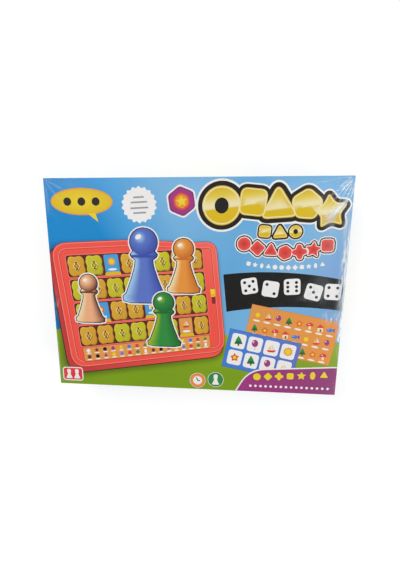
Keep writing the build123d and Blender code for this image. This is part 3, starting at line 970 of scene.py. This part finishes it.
def wallTint(x, y, z):
    # the sky runs down the walls into a green foot; near the face its own colours turn over
    sky = skyTint(0, x, y - (face["top"] - z) * wrap["skyDrop"])
    grass = mix(inks["leafDeep"], inks["leaf"], z / wrap["grass"])
    tone = mix(sky, grass, z < wrap["grass"])
    low, high = bandEdges(x)
    art = mix(backTint(0, x, y), inks["black"], (x > wrap["bandFrom"]) & (y > low) & (y < high))
    left, slope, level = wrap["bannerLeft"]
    onBanner = (y < wrap["bannerTop"]) & (x > left + slope * (y + level))
    return mix(tone, mix(art, inks["purple"], onBanner), z > face["top"] - wrap["bleed"])


def trayTint(x, y, z):  # plain sky blue all over, a little paler at the rim
    base, more, full = wrap["trayTone"]
    return inkMix("skyDeep", "skyMiddle", base + more * ease(z / full))


def ringQuads(index):  # faces between closed rings of point numbers
    right = np.roll(index, -1, 1)
    return np.stack([index[:-1], right[:-1], right[1:], index[1:]], -1).reshape(-1, 4)


def paperRound(name, half, perCorner, insets, heights, waves, tint, body):
    # rings of the outline, each drawn in by its inset; waves lets the inner edge run unevenly
    rings = []
    for inset, z, wave in zip(insets, heights, waves):
        ring = roundedOutline(half[0] - inset, half[1] - inset,
                              max(0.3, face["round"] - inset), perCorner)
        uneven = wave * np.sin(ring[:, 0] / 23 + 1) * np.sin(ring[:, 1] / 17 + ring[:, 0] / 60)
        rings.append(np.column_stack([ring, z + uneven]))
    points = np.concatenate(rings)
    quads = ringQuads(np.arange(len(points)).reshape(len(rings), -1))
    piece = meshPiece(name, points / 1000, quads.tolist(), printedPaper, tint(*points.T))
    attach(piece, body)


def lidPaper():
    # up inside the wall's foot, under its edge, up the outside and over the face's edge
    g, top, bevel, step = wrap["offset"], face["top"], face["bevel"], wrap["step"]
    foot, wall, grass = lidLow[2], wrap["board"] + wrap["offset"], wrap["grass"]
    bleed = top - wrap["bleed"]
    straight = np.concatenate([np.linspace(foot - g, grass - step, 4),
                               np.linspace(grass + step, bleed - step, 9),
                               [bleed + step, top - bevel]])
    turn = np.linspace(0, np.pi / 2, 6)[1:]
    insets = np.concatenate([[wall, wall], np.full(len(straight), -g),
                             bevel - (bevel + g) * np.cos(turn), [bevel + wrap["turnIn"]]])
    heights = np.concatenate([[foot + wrap["inside"], foot - g], straight,
                              top - bevel + (bevel + g) * np.sin(turn), [top + g]])
    waves = np.zeros(len(insets))
    waves[0] = wrap["wave"]
    paperRound("lid_paper", lidHigh[:2], 6, insets, heights, waves, wallTint, "lid")


def trayPaper():  # up the outside, over the rim and down the inside of the wall
    low, high = boxOf("box_tray")
    g, wall = wrap["offset"], wrap["board"] + wrap["offset"]
    heights = np.concatenate([np.linspace(low[2], high[2] + g, 12),
                              [high[2] + g, high[2] - wrap["inside"]]])
    insets = np.concatenate([np.full(12, -g), [wall, wall]])
    waves = np.zeros(len(insets))
    waves[-1] = wrap["wave"]
    paperRound("tray_paper", high[:2], 2, insets, heights, waves, trayTint, "tray")


# a wall's row of art: places along it in shares of its length, heights in mm
wallArt = {"headline": (0.62, 98, -36), "dice": ((-0.36, 3), (-0.29, 6)), "die": 15,
           "badges": (0.29, 0.37), "badge": 17, "height": 27, "burst": (-0.43, 24),
           "marks": (12, 7, 5.5), "markInks": ("sun", "white", "coral")}


def wallSheet(length):
    sheet = newPrint()
    scale, middle, rise = wallArt["headline"]
    height = wallArt["height"]
    headlineShapes(sheet, headline, 2, scale, (-scale * middle, rise))
    for k, (share, pips) in enumerate(wallArt["dice"]):
        dice(sheet, (share * length, height - 1 + 3 * k), wallArt["die"], pips, 9 - 17 * k, 2)
    one, two = (share * length for share in wallArt["badges"])
    ringedBadge(sheet, (one, height), wallArt["badge"], "greenDeep", "green", 2)
    whitePawn(sheet, (one, height - 5.5), 11, 5)
    ringedBadge(sheet, (two, height), wallArt["badge"], "flame", "orange", 2)
    for side in (-3, 3):
        whitePawn(sheet, (two + side, height - 5), 10, 5)
    share, size = wallArt["burst"]
    starburst(sheet, (share * length, height), size, 2)
    pitch, y, size = wallArt["marks"]
    for k in range(int(length / pitch) - 1):
        stamp(sheet, plainShape(k * 3), wallArt["markInks"][k % 3], 2,
              ((k + 1) * pitch - length / 2, y), 0, size)
    return sheet


lidPaper()
trayPaper()
wallX, wallY = face["halfWidth"] + wrap["offset"], face["halfHeight"] + wrap["offset"]
for name, origin, across, length in (("front", (0, -wallY, 0), (1, 0, 0), 2 * wallX),
                                     ("back", (0, wallY, 0), (-1, 0, 0), 2 * wallX),
                                     ("left", (-wallX, 0, 0), (0, -1, 0), 2 * wallY),
                                     ("right", (wallX, 0, 0), (0, 1, 0), 2 * wallY)):
    pressed(name + "_wall_print", wallSheet(length), origin, across, (0, 0, 1), "lid")
print("lid and tray wrapped, walls printed")


# The picture sheets: a grid of small pictures that shows through the doors, and the strip


def sheetFrame(node):  # board directions on the sheet: right is +Y, up is -X
    low, high = boxOf(node)
    return np.array([high[0], low[1], high[2]]), high - low


boardOrigin, sheetSize = sheetFrame("board_a_picture_sheet")
doorMiddles = []
for row in range(1, 5):
    for column in range(1, 9):
        low, high = boxOf(f"board_a_door_r{row}c{column}")
        middle = (low + high) / 2 - boardOrigin
        doorMiddles.append((middle[1], -middle[0]))
doorMiddles = np.array(doorMiddles)
# cells, margins and marks in mm; grounds are the sheet's two inks and its cells' two
pictures = {"cell": (21.4, 27.4), "cellDrop": 1.5, "margin": 1.0, "headMargin": 4.0, "round": 3,
            "markPitch": 11.4, "markRows": (6.6, 13.4), "mark": 4.6,
            "marks": ("brown", "sun", "green", "ink", "blueDeep", "white", "purple", "red"),
            "grounds": {"a": ("orange", "card", "skyMiddle", "blue"),
                        "b": ("skyMiddle", "blue", "leaf", "green")}}


def pictureSheet(grounds, turn):
    # ground over the whole sheet, a cell under each door, and two rows of marks in the strip
    sheet = newPrint()
    edge, far = pictures["margin"], sheetSize[0] - pictures["margin"]
    end = sheetSize[1] - pictures["headMargin"]
    area = softened([(edge, edge), (end, edge), (end, far), (edge, far)], pictures["round"], 4)
    fill(sheet, area, lambda t, x, y: inkMix(grounds[0], grounds[1], x / end), 0, 3)
    for k, at in enumerate(doorMiddles):
        tone = grounds[2] if (k + k // 8) % 2 else grounds[3]
        pictureCell(sheet, (at[0], at[1] - pictures["cellDrop"]), *pictures["cell"],
                    pictureName(k * 3 + turn + k // 8), tone, 1)
    for row, y in enumerate(pictures["markRows"]):
        for column in range(16):
            x = doorMiddles[:, 0].mean() + (column - 7.5) * pictures["markPitch"]
            stamp(sheet, plainShape(column + 3 * row + turn),
                  pictures["marks"][(column * 3 + row * 5) % 8], 1, (x, y), 0, pictures["mark"])
    return sheet


for board in ("a", "b"):
    grounds = pictures["grounds"][board]
    for name, node, tones, turn in (
            ("picture_sheet", f"board_{board}_picture_sheet", grounds, 0),
            ("spare_sheet", f"spare_sheet_{board}", grounds[::-1], 5)):
        pressed(f"{name}_print_{board}", pictureSheet(tones, turn), sheetFrame(node)[0],
                (0, 1, 0), (-1, 0, 0), node)
print("picture sheets printed")


# The doors' moulded marks: a raised diamond line round a low dome, in each sunk panel

doorMark = {"half": (4.4, 7.0), "round": 1.6, "reach": 27.5, "sunk": 0.4, "height": 0.37,
            "pitch": 24.0, "width": 23.8}
# share of the outline and share of the height, from the foot over the line to the dome's top
markSection = np.array([(1.0, -0.1), (1.0, 0.45), (0.97, 0.8), (0.91, 1.0), (0.85, 0.8),
                        (0.8, 0.2), (0.5, 0.08), (0.44, 0.4), (0.3, 0.8), (0.14, 0.97)])


def doorMarks(name, node, count):
    # the outline shrunk by each share and lifted by its height; fans close the top and the foot
    low, high = boxOf(node)
    half = doorMark["half"]
    outline = softened([(half[1], 0), (0, half[0]), (-half[1], 0), (0, -half[0])],
                       doorMark["round"], 5)
    share, lift = markSection.T
    lift = lift * doorMark["height"]
    rings = share[:, None, None] * outline
    z = np.broadcast_to(lift[:, None, None], rings.shape[:2] + (1,))
    grid = np.concatenate([rings, z], 2).reshape(-1, 3)
    shape = np.vstack([grid, [(0, 0, lift[0]), (0, 0, doorMark["height"])]])
    across = len(outline)
    index = np.arange(len(grid)).reshape(-1, across)
    right = np.roll(index, -1, 1)
    quads = ringQuads(index)
    foot = np.stack([right[0], index[0], np.full(across, len(grid))], 1)
    top = np.stack([index[-1], right[-1], np.full(across, len(grid) + 1)], 1)
    points, faces = [], []
    for k in range(count):
        at = (high[0] - doorMark["reach"] / 2,
              low[1] + doorMark["width"] / 2 + doorMark["pitch"] * k, high[2] - doorMark["sunk"])
        start = k * len(shape)
        points.append(shape + at)
        faces += (quads + start).tolist() + (foot + start).tolist() + (top + start).tolist()
    piece = meshPiece(name, np.concatenate(points) / 1000, faces, markPlastic)
    piece.data.polygons.foreach_set("use_smooth", np.ones(len(faces), bool))
    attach(piece, node)


for row in range(1, 5):
    doorMarks(f"board_b_door_marks_r{row}", f"board_b_doors_r{row}", 8)
    for column in range(1, 9):
        node = f"board_a_door_r{row}c{column}"
        doorMarks(node.replace("door", "door_mark"), node, 1)
print("doors marked")


# The rules leaflet: a heading, three drawings of a board, and bars that stand for print

# in mm: the heading and the board end with their height on the page, the doors with their
# pitches; the marks and the bars begin with how many there are
leafletArt = {"heading": (250, 14, 86), "marks": (9, -96, 24, 8), "columns": 92,
              "board": (74, 52, 42), "panel": (66, 44), "door": (12.5, 11.5),
              "doors": (-24, 56, 16, 14), "picture": 8, "bars": (13, 1.3, 6, 6.6)}


def leafletSheet():
    sheet = newPrint()
    width, height, y = leafletArt["heading"]
    stamp(sheet, softened(oblong(width, height), 4, 5), "coral", 0, (0, y))
    count, start, pitch, size = leafletArt["marks"]
    for k in range(count):
        stamp(sheet, plainShape(k), "sun", 1, (start + pitch * k, y), 0, size)
    width, height, middle = leafletArt["board"]
    left, top, across, down = leafletArt["doors"]
    count, thick, first, drop = leafletArt["bars"]
    for column in (0, 1, 2):
        x = leafletArt["columns"] * (column - 1)
        stamp(sheet, softened(oblong(width, height), 6, 5), "coral", 0, (x, middle))
        stamp(sheet, softened(oblong(*leafletArt["panel"]), 3, 4), "recess", 1, (x, middle))
        for k in range(12):
            at = (x + left + across * (k % 4), top - down * (k // 4))
            shut = (k + column) % 3 > 0
            stamp(sheet, softened(oblong(*leafletArt["door"]), 2), "yellow" if shut else "white",
                  2, at)
            if not shut:
                smallPicture(sheet, pictureName(k + column), at, leafletArt["picture"], 3)
        for k in range(count):
            length = width - 20 * ((k * 7 + column) % 5 == 4) - 6 * (k % 3)
            stamp(sheet, oblong(length, thick), "grey", 0,
                  (x - (width - length) / 2, first - drop * k))
    return sheet


leafletLow, leafletHigh = boxOf("rules_leaflet")
leafletMiddle = (leafletLow + leafletHigh) / 2
pressed("leaflet_print", leafletSheet(), (*leafletMiddle[:2], leafletHigh[2]), (1, 0, 0),
        (0, 1, 0), "leaflet")
print("leaflet printed")


# The CAD pieces take their finishes

finishOf = {"sheet": pictureCard, "door": yellowPlastic, "slider": yellowPlastic,
            "front_shell": redPlastic, "back_cover": backPlastic, "box_lid": lidBoard,
            "box_tray": trayBoard, "leaflet": leafletPaper}


def giveFinish(piece, finish):
    piece.data.materials.clear()
    piece.data.materials.append(finish)


for name, piece in nodes.items():
    for word, finish in finishOf.items():
        if word in name:
            giveFinish(piece, finish)
            break
print("finishes on the CAD pieces")


# The shrink film: one tight skin over the lid and down its walls, drawn into creases

film = {"top": 50.25, "foot": 0.22, "halfWidth": 185.05, "halfHeight": 136.05, "round": 0.9,
        "corner": 2.0, "seam": 4.0, "fine": 0.55, "coarse": 5.0, "fineZone": 44.0, "seed": 7,
        "slow": (0.035, 23, 31), "streakLift": 0.06, "wrinkleLift": 0.2, "slopeStep": 0.5,
        "hazeAndSheen": (0.6, 8.5)}
# corner, crease strength in mm, reach in mm, creases in the quarter turn, phase
cornerCreases = [((1, 1), 0.13, 40.0, 17.0, 0.4), ((-1, 1), 0.06, 30.0, 14.0, 1.3),
                 ((1, -1), 0.055, 24.0, 12.0, 2.2), ((-1, -1), 0.07, 22.0, 13.0, 0.9)]
# painted sheen and glints of the film's reflections, laid on as whiter bands that also lift the
# film a little: start, end, width at each, strength
sheenStreaks = [((181, 134.5), (166, 122), 0.6, 0.9, 0.5), ((182, 131), (168, 118), 0.6, 1.0, 0.6),
           ((182, 128.5), (172, 115), 0.5, 0.8, 0.5), ((182.4, 125), (176, 111), 0.5, 0.8, 0.45),
           ((183.4, 122), (181, 109), 0.5, 0.8, 0.4), ((184, 128), (183.4, 112), 0.4, 0.7, 0.4),
           ((181, 112), (150, 80), 1.8, 6.0, 0.5), ((176, 106), (156, 82), 1.0, 2.0, 0.22),
           ((184, 106), (175, 60), 1.2, 3.4, 0.24), ((168, 100), (160, 66), 1.0, 4.0, 0.15),
           ((-184, 135), (-158, 121), 0.5, 1.6, 0.22), ((-184, 135), (-166, 110), 0.5, 2.0, 0.12),
           ((-182, 128), (-181, 90), 1.0, 3.0, 0.11),
           ((-184.4, -60), (-183.6, -130), 0.6, 0.9, 0.3),
           ((166, 84), (154, -20), 6.0, 13.0, 0.06), ((183.2, 92), (184, -84), 0.8, 0.8, 0.75),
           ((179, 104), (181, -78), 3.0, 4.5, 0.2)]
# small wrinkles, also whitened as painted glints: middle, reach across and along, strength in mm,
# how tall each one is
wrinkles = [((182, 26), (3.8, 36), 1.15, 3.0), ((182.6, -46), (2.6, 26), 1.0, 4.0),
            ((171, -32), (9, 7), 0.85, 5.0), ((-181, -22), (4, 14), 0.22, 4.0),
            ((150, -2), (14, 10), 0.22, 4.5)]
# down the walls: upright folds near the corners, the welded seam's bead, and the milkiness, with
# the folds whitened as painted highlights
filmWall = {"rings": 16, "fold": 0.5, "foldPitch": 3.1, "foldRise": 17, "foldReach": 22,
            "foldStart": 8, "bead": 0.22, "beadWidth": 0.35, "seamBand": 0.9,
            "slow": (0.05, 19, 13), "hazeAndSheen": (0.56, 0.015, 0.38)}


def lattice(x, y, seed):  # smooth value noise: seeded numbers at whole points, eased between
    table = np.random.default_rng(seed).random((256, 256))
    xi, yi = np.floor(x).astype(int), np.floor(y).astype(int)
    fx, fy = ease(x - xi), ease(y - yi)
    a, b = table[xi % 256, yi % 256], table[(xi + 1) % 256, yi % 256]
    c, d = table[xi % 256, (yi + 1) % 256], table[(xi + 1) % 256, (yi + 1) % 256]
    return (a + (b - a) * fx) * (1 - fy) + (c + (d - c) * fx) * fy


def ridge(v):  # 1 on the crest of each fold and 0 between them
    return (1 - np.abs(2 * v - 1)) ** 4


def streaky(x, y):  # each streak falls off as a bell across its line, and fades at both ends
    total = np.zeros(x.shape)
    for start, end, narrow, wide, strength in sheenStreaks:
        start, along = np.array(start, float), np.subtract(end, start).astype(float)
        length = np.hypot(*along)
        t = ((x - start[0]) * along[0] + (y - start[1]) * along[1]) / length ** 2
        off = ((x - start[0]) * along[1] - (y - start[1]) * along[0]) / length
        width = narrow + (wide - narrow) * np.clip(t, 0, 1)
        total += strength * np.exp(-(off / width) ** 2) * ease(8 * t) * ease(3 * (1 - t))
    return total


def wrinkled(x, y):  # short upright ridges of noise inside soft ovals
    total = np.zeros(x.shape)
    for middle, reach, strength, tall in wrinkles:
        mark = lattice(0.8 * x + 0.1 * y, y / tall, film["seed"] + 3)
        total += strength * bell(x, y, middle, reach) * ease(1.7 * mark - 0.6)
    return total


def filmLift(x, y):
    # folds that fan out from each corner and die away, the streaks and wrinkles as low
    # ridges, and a slow unevenness everywhere
    slow, across, along = film["slow"]
    lift = (slow * lattice(x / across, y / along, film["seed"])
            + film["streakLift"] * streaky(x, y) + film["wrinkleLift"] * wrinkled(x, y))
    for (sx, sy), strength, reach, folds, phase in cornerCreases:
        dx, dy = film["halfWidth"] - sx * x, film["halfHeight"] - sy * y
        away, angle = np.hypot(dx, dy) + 1e-6, np.arctan2(dy, dx)
        wander = 0.35 * lattice(away / 60, angle * 2 + 5 * phase, film["seed"] + 1)
        patchy = ease(2.2 * lattice(angle * 9, away / 90 + phase, film["seed"] + 2) - 0.5)
        fold = ridge((angle * folds / np.pi + wander + phase) % 1)
        lift += strength * fold * np.exp(-away / reach) * ease(away / 9) * patchy
    return lift


def gradedSteps(half):  # fine steps near both ends, where the folds are, and coarse between
    edge = np.arange(0, film["fineZone"], film["fine"])
    middle = np.linspace(film["fineZone"], 2 * half - film["fineZone"],
                         int((2 * half - 2 * film["fineZone"]) / film["coarse"]))
    return np.concatenate([edge, middle, 2 * half - edge[::-1]]) - half


def roundedPlan(flat, out):
    # pushed outwards; past the corner's centre a square ring is drawn in to a round one
    centre = np.array([film["halfWidth"], film["halfHeight"]]) - film["corner"]
    beyond = np.maximum(np.abs(flat) - centre, 0)
    square, radius = beyond.max(1), np.hypot(*beyond.T)
    scale = np.where(radius > 0, (square + out * (square > 0)) / np.maximum(radius, 1e-9), 0)
    return np.sign(flat) * (np.minimum(np.abs(flat), centre) + beyond * scale[:, None])


def filmFace():  # a grid over the face: its plan, its lift, and whitening as painted highlights where the lift is steep, along the streaks and on the wrinkles
    turn, step = film["round"], film["slopeStep"]
    x, y = np.meshgrid(gradedSteps(film["halfWidth"] - turn),
                       gradedSteps(film["halfHeight"] - turn), indexing="ij")
    slope = np.hypot(filmLift(x + step, y) - filmLift(x - step, y),
                     filmLift(x, y + step) - filmLift(x, y - step)) / (2 * step)
    most, steepness = film["hazeAndSheen"]
    # painted highlights and sheen: whiter where the film is steep, along the sheen streaks and on
    # the wrinkles
    hazeAndSheen = np.clip(most * ease(slope * steepness) + streaky(x, y) + wrinkled(x, y), 0, 1)
    return x, y, filmLift(x, y), hazeAndSheen


def wallRings():  # height and outward push of each ring: a quarter turn, then straight down
    turn, top, seam = film["round"], film["top"], film["seam"]
    bend = np.linspace(0, np.pi / 2, 5)[1:]
    band = seam + np.linspace(-filmWall["seamBand"], filmWall["seamBand"], 7)
    walls = np.concatenate([np.linspace(top - turn, seam + 2, filmWall["rings"])[1:],
                            band[::-1], [film["foot"]]])
    heights = np.concatenate([top - turn + turn * np.cos(bend), walls])
    return heights, np.concatenate([turn * np.sin(bend), np.full(len(walls), turn)])


def shrinkFilm(finish):
    # the face's grid, then rings of its edge, pushed out and lowered one below the other; folds
    # and the seam's bead push them out further, as ridges of noise and as a bell over the height
    x, y, lift, hazeAndSheen = filmFace()
    turn, top = film["round"], film["top"]
    index = np.arange(x.size).reshape(x.shape)
    quads = [np.stack([index[:-1, :-1], index[1:, :-1], index[1:, 1:], index[:-1, 1:]],
                      -1).reshape(-1, 4)]
    loop = np.concatenate([index[:-1, 0], index[-1, :-1], index[:0:-1, -1], index[0, :0:-1]])
    flat = line(x.ravel(), y.ravel())
    points = [np.column_stack([roundedPlan(flat, 0), top + lift.ravel()])]
    hazeAndSheenList = [hazeAndSheen.ravel()]
    edge, edgeLift = flat[loop], lift.ravel()[loop]
    run = np.concatenate([[0], np.cumsum(np.linalg.norm(np.diff(edge, axis=0), axis=1))])
    fromCorner = np.maximum(film["halfWidth"] - np.abs(edge[:, 0]),
                            film["halfHeight"] - np.abs(edge[:, 1]))
    slow, across, along = filmWall["slow"]
    foldSheen, plainHaze, beadHaze = filmWall["hazeAndSheen"]
    previous, count = loop, len(flat)
    for z, out in zip(*wallRings()):
        down = ease((top - z) / filmWall["foldStart"])
        fold = ridge(lattice(run / filmWall["foldPitch"],
                             np.full_like(run, z / filmWall["foldRise"] + 3), film["seed"] + 5))
        fold = fold * np.exp(-fromCorner / filmWall["foldReach"]) * down
        bead = np.exp(-((z - film["seam"]) / filmWall["beadWidth"]) ** 2)
        push = (out + filmWall["fold"] * fold * ease(z / 10) + filmWall["bead"] * bead
                + slow * down * lattice(run / across, np.full_like(run, z / along),
                                        film["seed"] + 6))
        level = z + edgeLift * ease((z - top + 2 * turn) / (2 * turn))
        points.append(np.column_stack([roundedPlan(edge, push), level]))
        # painted highlights along the folds, over a plain milkiness and a whiter seam bead
        hazeAndSheenList.append(np.clip(foldSheen * fold + plainHaze + beadHaze * bead, 0, 1))
        ring = count + np.arange(len(loop))
        quads.append(np.stack([previous, ring, np.roll(ring, -1), np.roll(previous, -1)], 1))
        previous, count = ring, count + len(loop)
    faces = np.concatenate(quads)
    colours = np.repeat(np.concatenate(hazeAndSheenList)[:, None], 3, 1)
    piece = meshPiece("shrink_film_skin", np.concatenate(points) / 1000, faces.tolist(), finish,
                      colours)
    piece.data.polygons.foreach_set("use_smooth", np.ones(len(piece.data.polygons), bool))
    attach(piece, "lid")
    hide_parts("film_over_lid")
    return len(faces)


filmLook = {"tone": "#EAF6FF", "clear": 0.005, "hazeAndSheenAlpha": 0.95, "roughness": 0.09, "ior": 1.5,
            "coatRoughness": 0.04, "crinkle": 90.0, "bump": (0.15, 0.0004)}


def filmFinish():
    # nearly clear skin, whiter along its creases, streaks and wrinkles as painted highlights and
    # sheen; alpha is the clear level plus that whitening times its strength
    made, tree, shader = newFinish("shrink_film")
    hazeAndSheen = addNode(tree, "Attribute", attribute_name="ink").outputs["Fac"]
    crinkle = grain(tree, filmLook["crinkle"], 4.0, (1, 0.4, 1))
    alpha = addNode(tree, "Math", {0: hazeAndSheen}, {1: filmLook["hazeAndSheenAlpha"], 2: filmLook["clear"]},
                    operation="MULTIPLY_ADD")
    feed(tree, shader, {"Alpha": alpha.outputs[0],
                        "Base Color": tinted(tree, linear(filmLook["tone"]), crinkle, 0.97, 1.0),
                        "Normal": bump(tree, crinkle, *filmLook["bump"])},
         {"Roughness": filmLook["roughness"], "IOR": filmLook["ior"], "Coat Weight": 1.0,
          "Coat Roughness": filmLook["coatRoughness"]})
    return made


shrinkFinish = filmFinish()
print("film skin,", shrinkFilm(shrinkFinish), "faces")
giveFinish(nodes["film_under_tray"], shrinkFinish)


# Floor, lamps, world and camera

studio = {"floorHalf": 3.0, "floorDrop": 0.0006, "floorTone": "#EDEDED", "floorShade": 0.42,
          "glowFrom": (0.4, 2.2), "glow": (0.66, 0.87), "overhead": 0.22, "bandTop": (0.25, 0.6),
          "lamps": (("key", (-0.8, 1.0, 1.35), 1.0, 17.0), ("fill", (1.3, -0.7, 1.2), 1.0, 13.0),
                    ("glint", (0.62, 0.27, 1.3), 0.22, 0.6))}


def pureWhite(tree, dark, lit):
    # the camera, mirrors and clear skins see `lit`, everything else sees `dark`
    rays = addNode(tree, "LightPath").outputs
    seen = addNode(tree, "Math", {0: rays["Is Camera Ray"], 1: rays["Is Glossy Ray"]},
                   operation="MAXIMUM")
    seen = addNode(tree, "Math", {0: seen.outputs[0], 1: rays["Is Transmission Ray"]},
                   operation="MAXIMUM")
    return addNode(tree, "MixShader", {0: seen.outputs[0], 1: dark, 2: lit}).outputs[0]


def floorFinish():
    made, tree, shader = newFinish("studio_floor")
    tone = tinted(tree, linear(studio["floorTone"]), grain(tree, 3.0), 0.99, 1.01)
    feed(tree, shader, {"Base Color": tone}, {"Roughness": 0.9})
    grey = studio["floorShade"]
    shade = addNode(tree, "BsdfDiffuse", values={"Color": (grey, grey, grey, 1)})
    # the lamps' light fades with distance, so the floor's own white grows to meet the backdrop
    away = addNode(tree, "VectorMath", {0: addNode(tree, "TexCoord").outputs["Object"]},
                   operation="LENGTH")
    glow = addNode(tree, "Emission",
                   {"Strength": spread(tree, away.outputs["Value"], studio["glowFrom"],
                                       studio["glow"])}, {"Color": (1, 1, 1, 1)})
    both = addNode(tree, "AddShader", {0: shade.outputs[0], 1: glow.outputs[0]})
    tree.links.new(pureWhite(tree, shader.outputs[0], both.outputs[0]),
                   tree.nodes["Material Output"].inputs["Surface"])
    return made


half = studio["floorHalf"]
floor = meshPiece("studio_floor", np.array([[-half, -half, 0], [half, -half, 0],
                                            [half, half, 0], [-half, half, 0]]),
                  [(0, 1, 2, 3)], floorFinish())
floor.location.z = -studio["floorDrop"]

# the world: white near the horizon, and dimmer overhead, where the film mirrors it
world = bpy.data.worlds.new("studio")
bpy.context.scene.world = world
world.use_nodes = True
tree = world.node_tree
way = addNode(tree, "SeparateXYZ", {"Vector": addNode(tree, "TexCoord").outputs["Generated"]})
feed(tree, tree.nodes["Background"],
     {"Strength": spread(tree, way.outputs["Z"], studio["bandTop"], (1.0, studio["overhead"]))},
     {"Color": (1, 1, 1, 1)})

for name, place, size, power in studio["lamps"]:
    light = bpy.data.lights.new(name, "AREA")
    light.size = size
    light.energy = power
    lamp = bpy.data.objects.new(name, light)
    bpy.context.scene.collection.objects.link(lamp)
    lamp.location = place
    lamp.rotation_euler = (-lamp.location).to_track_quat("-Z", "Y").to_euler()

# the photograph's camera, from the face's four corners: place, turn about an axis, and lens
view = {"place": (0.03565, 0.0741, 0.41189), "turn": (-0.18389, 0.07481, 0.01159),
        "lens": 18.58, "sensor": 36.0}
cameraData = bpy.data.cameras.new("camera")
cameraData.sensor_width = view["sensor"]
cameraData.lens = view["lens"]
camera = bpy.data.objects.new("camera", cameraData)
bpy.context.scene.collection.objects.link(camera)
turn = np.array(view["turn"])
angle = float(np.linalg.norm(turn))
camera.matrix_world = (Matrix.Translation(view["place"])
                       @ Matrix.Rotation(angle, 4, tuple(turn / angle)))
bpy.context.scene.camera = camera
bpy.context.scene.view_settings.view_transform = "Standard"

print("studio set")
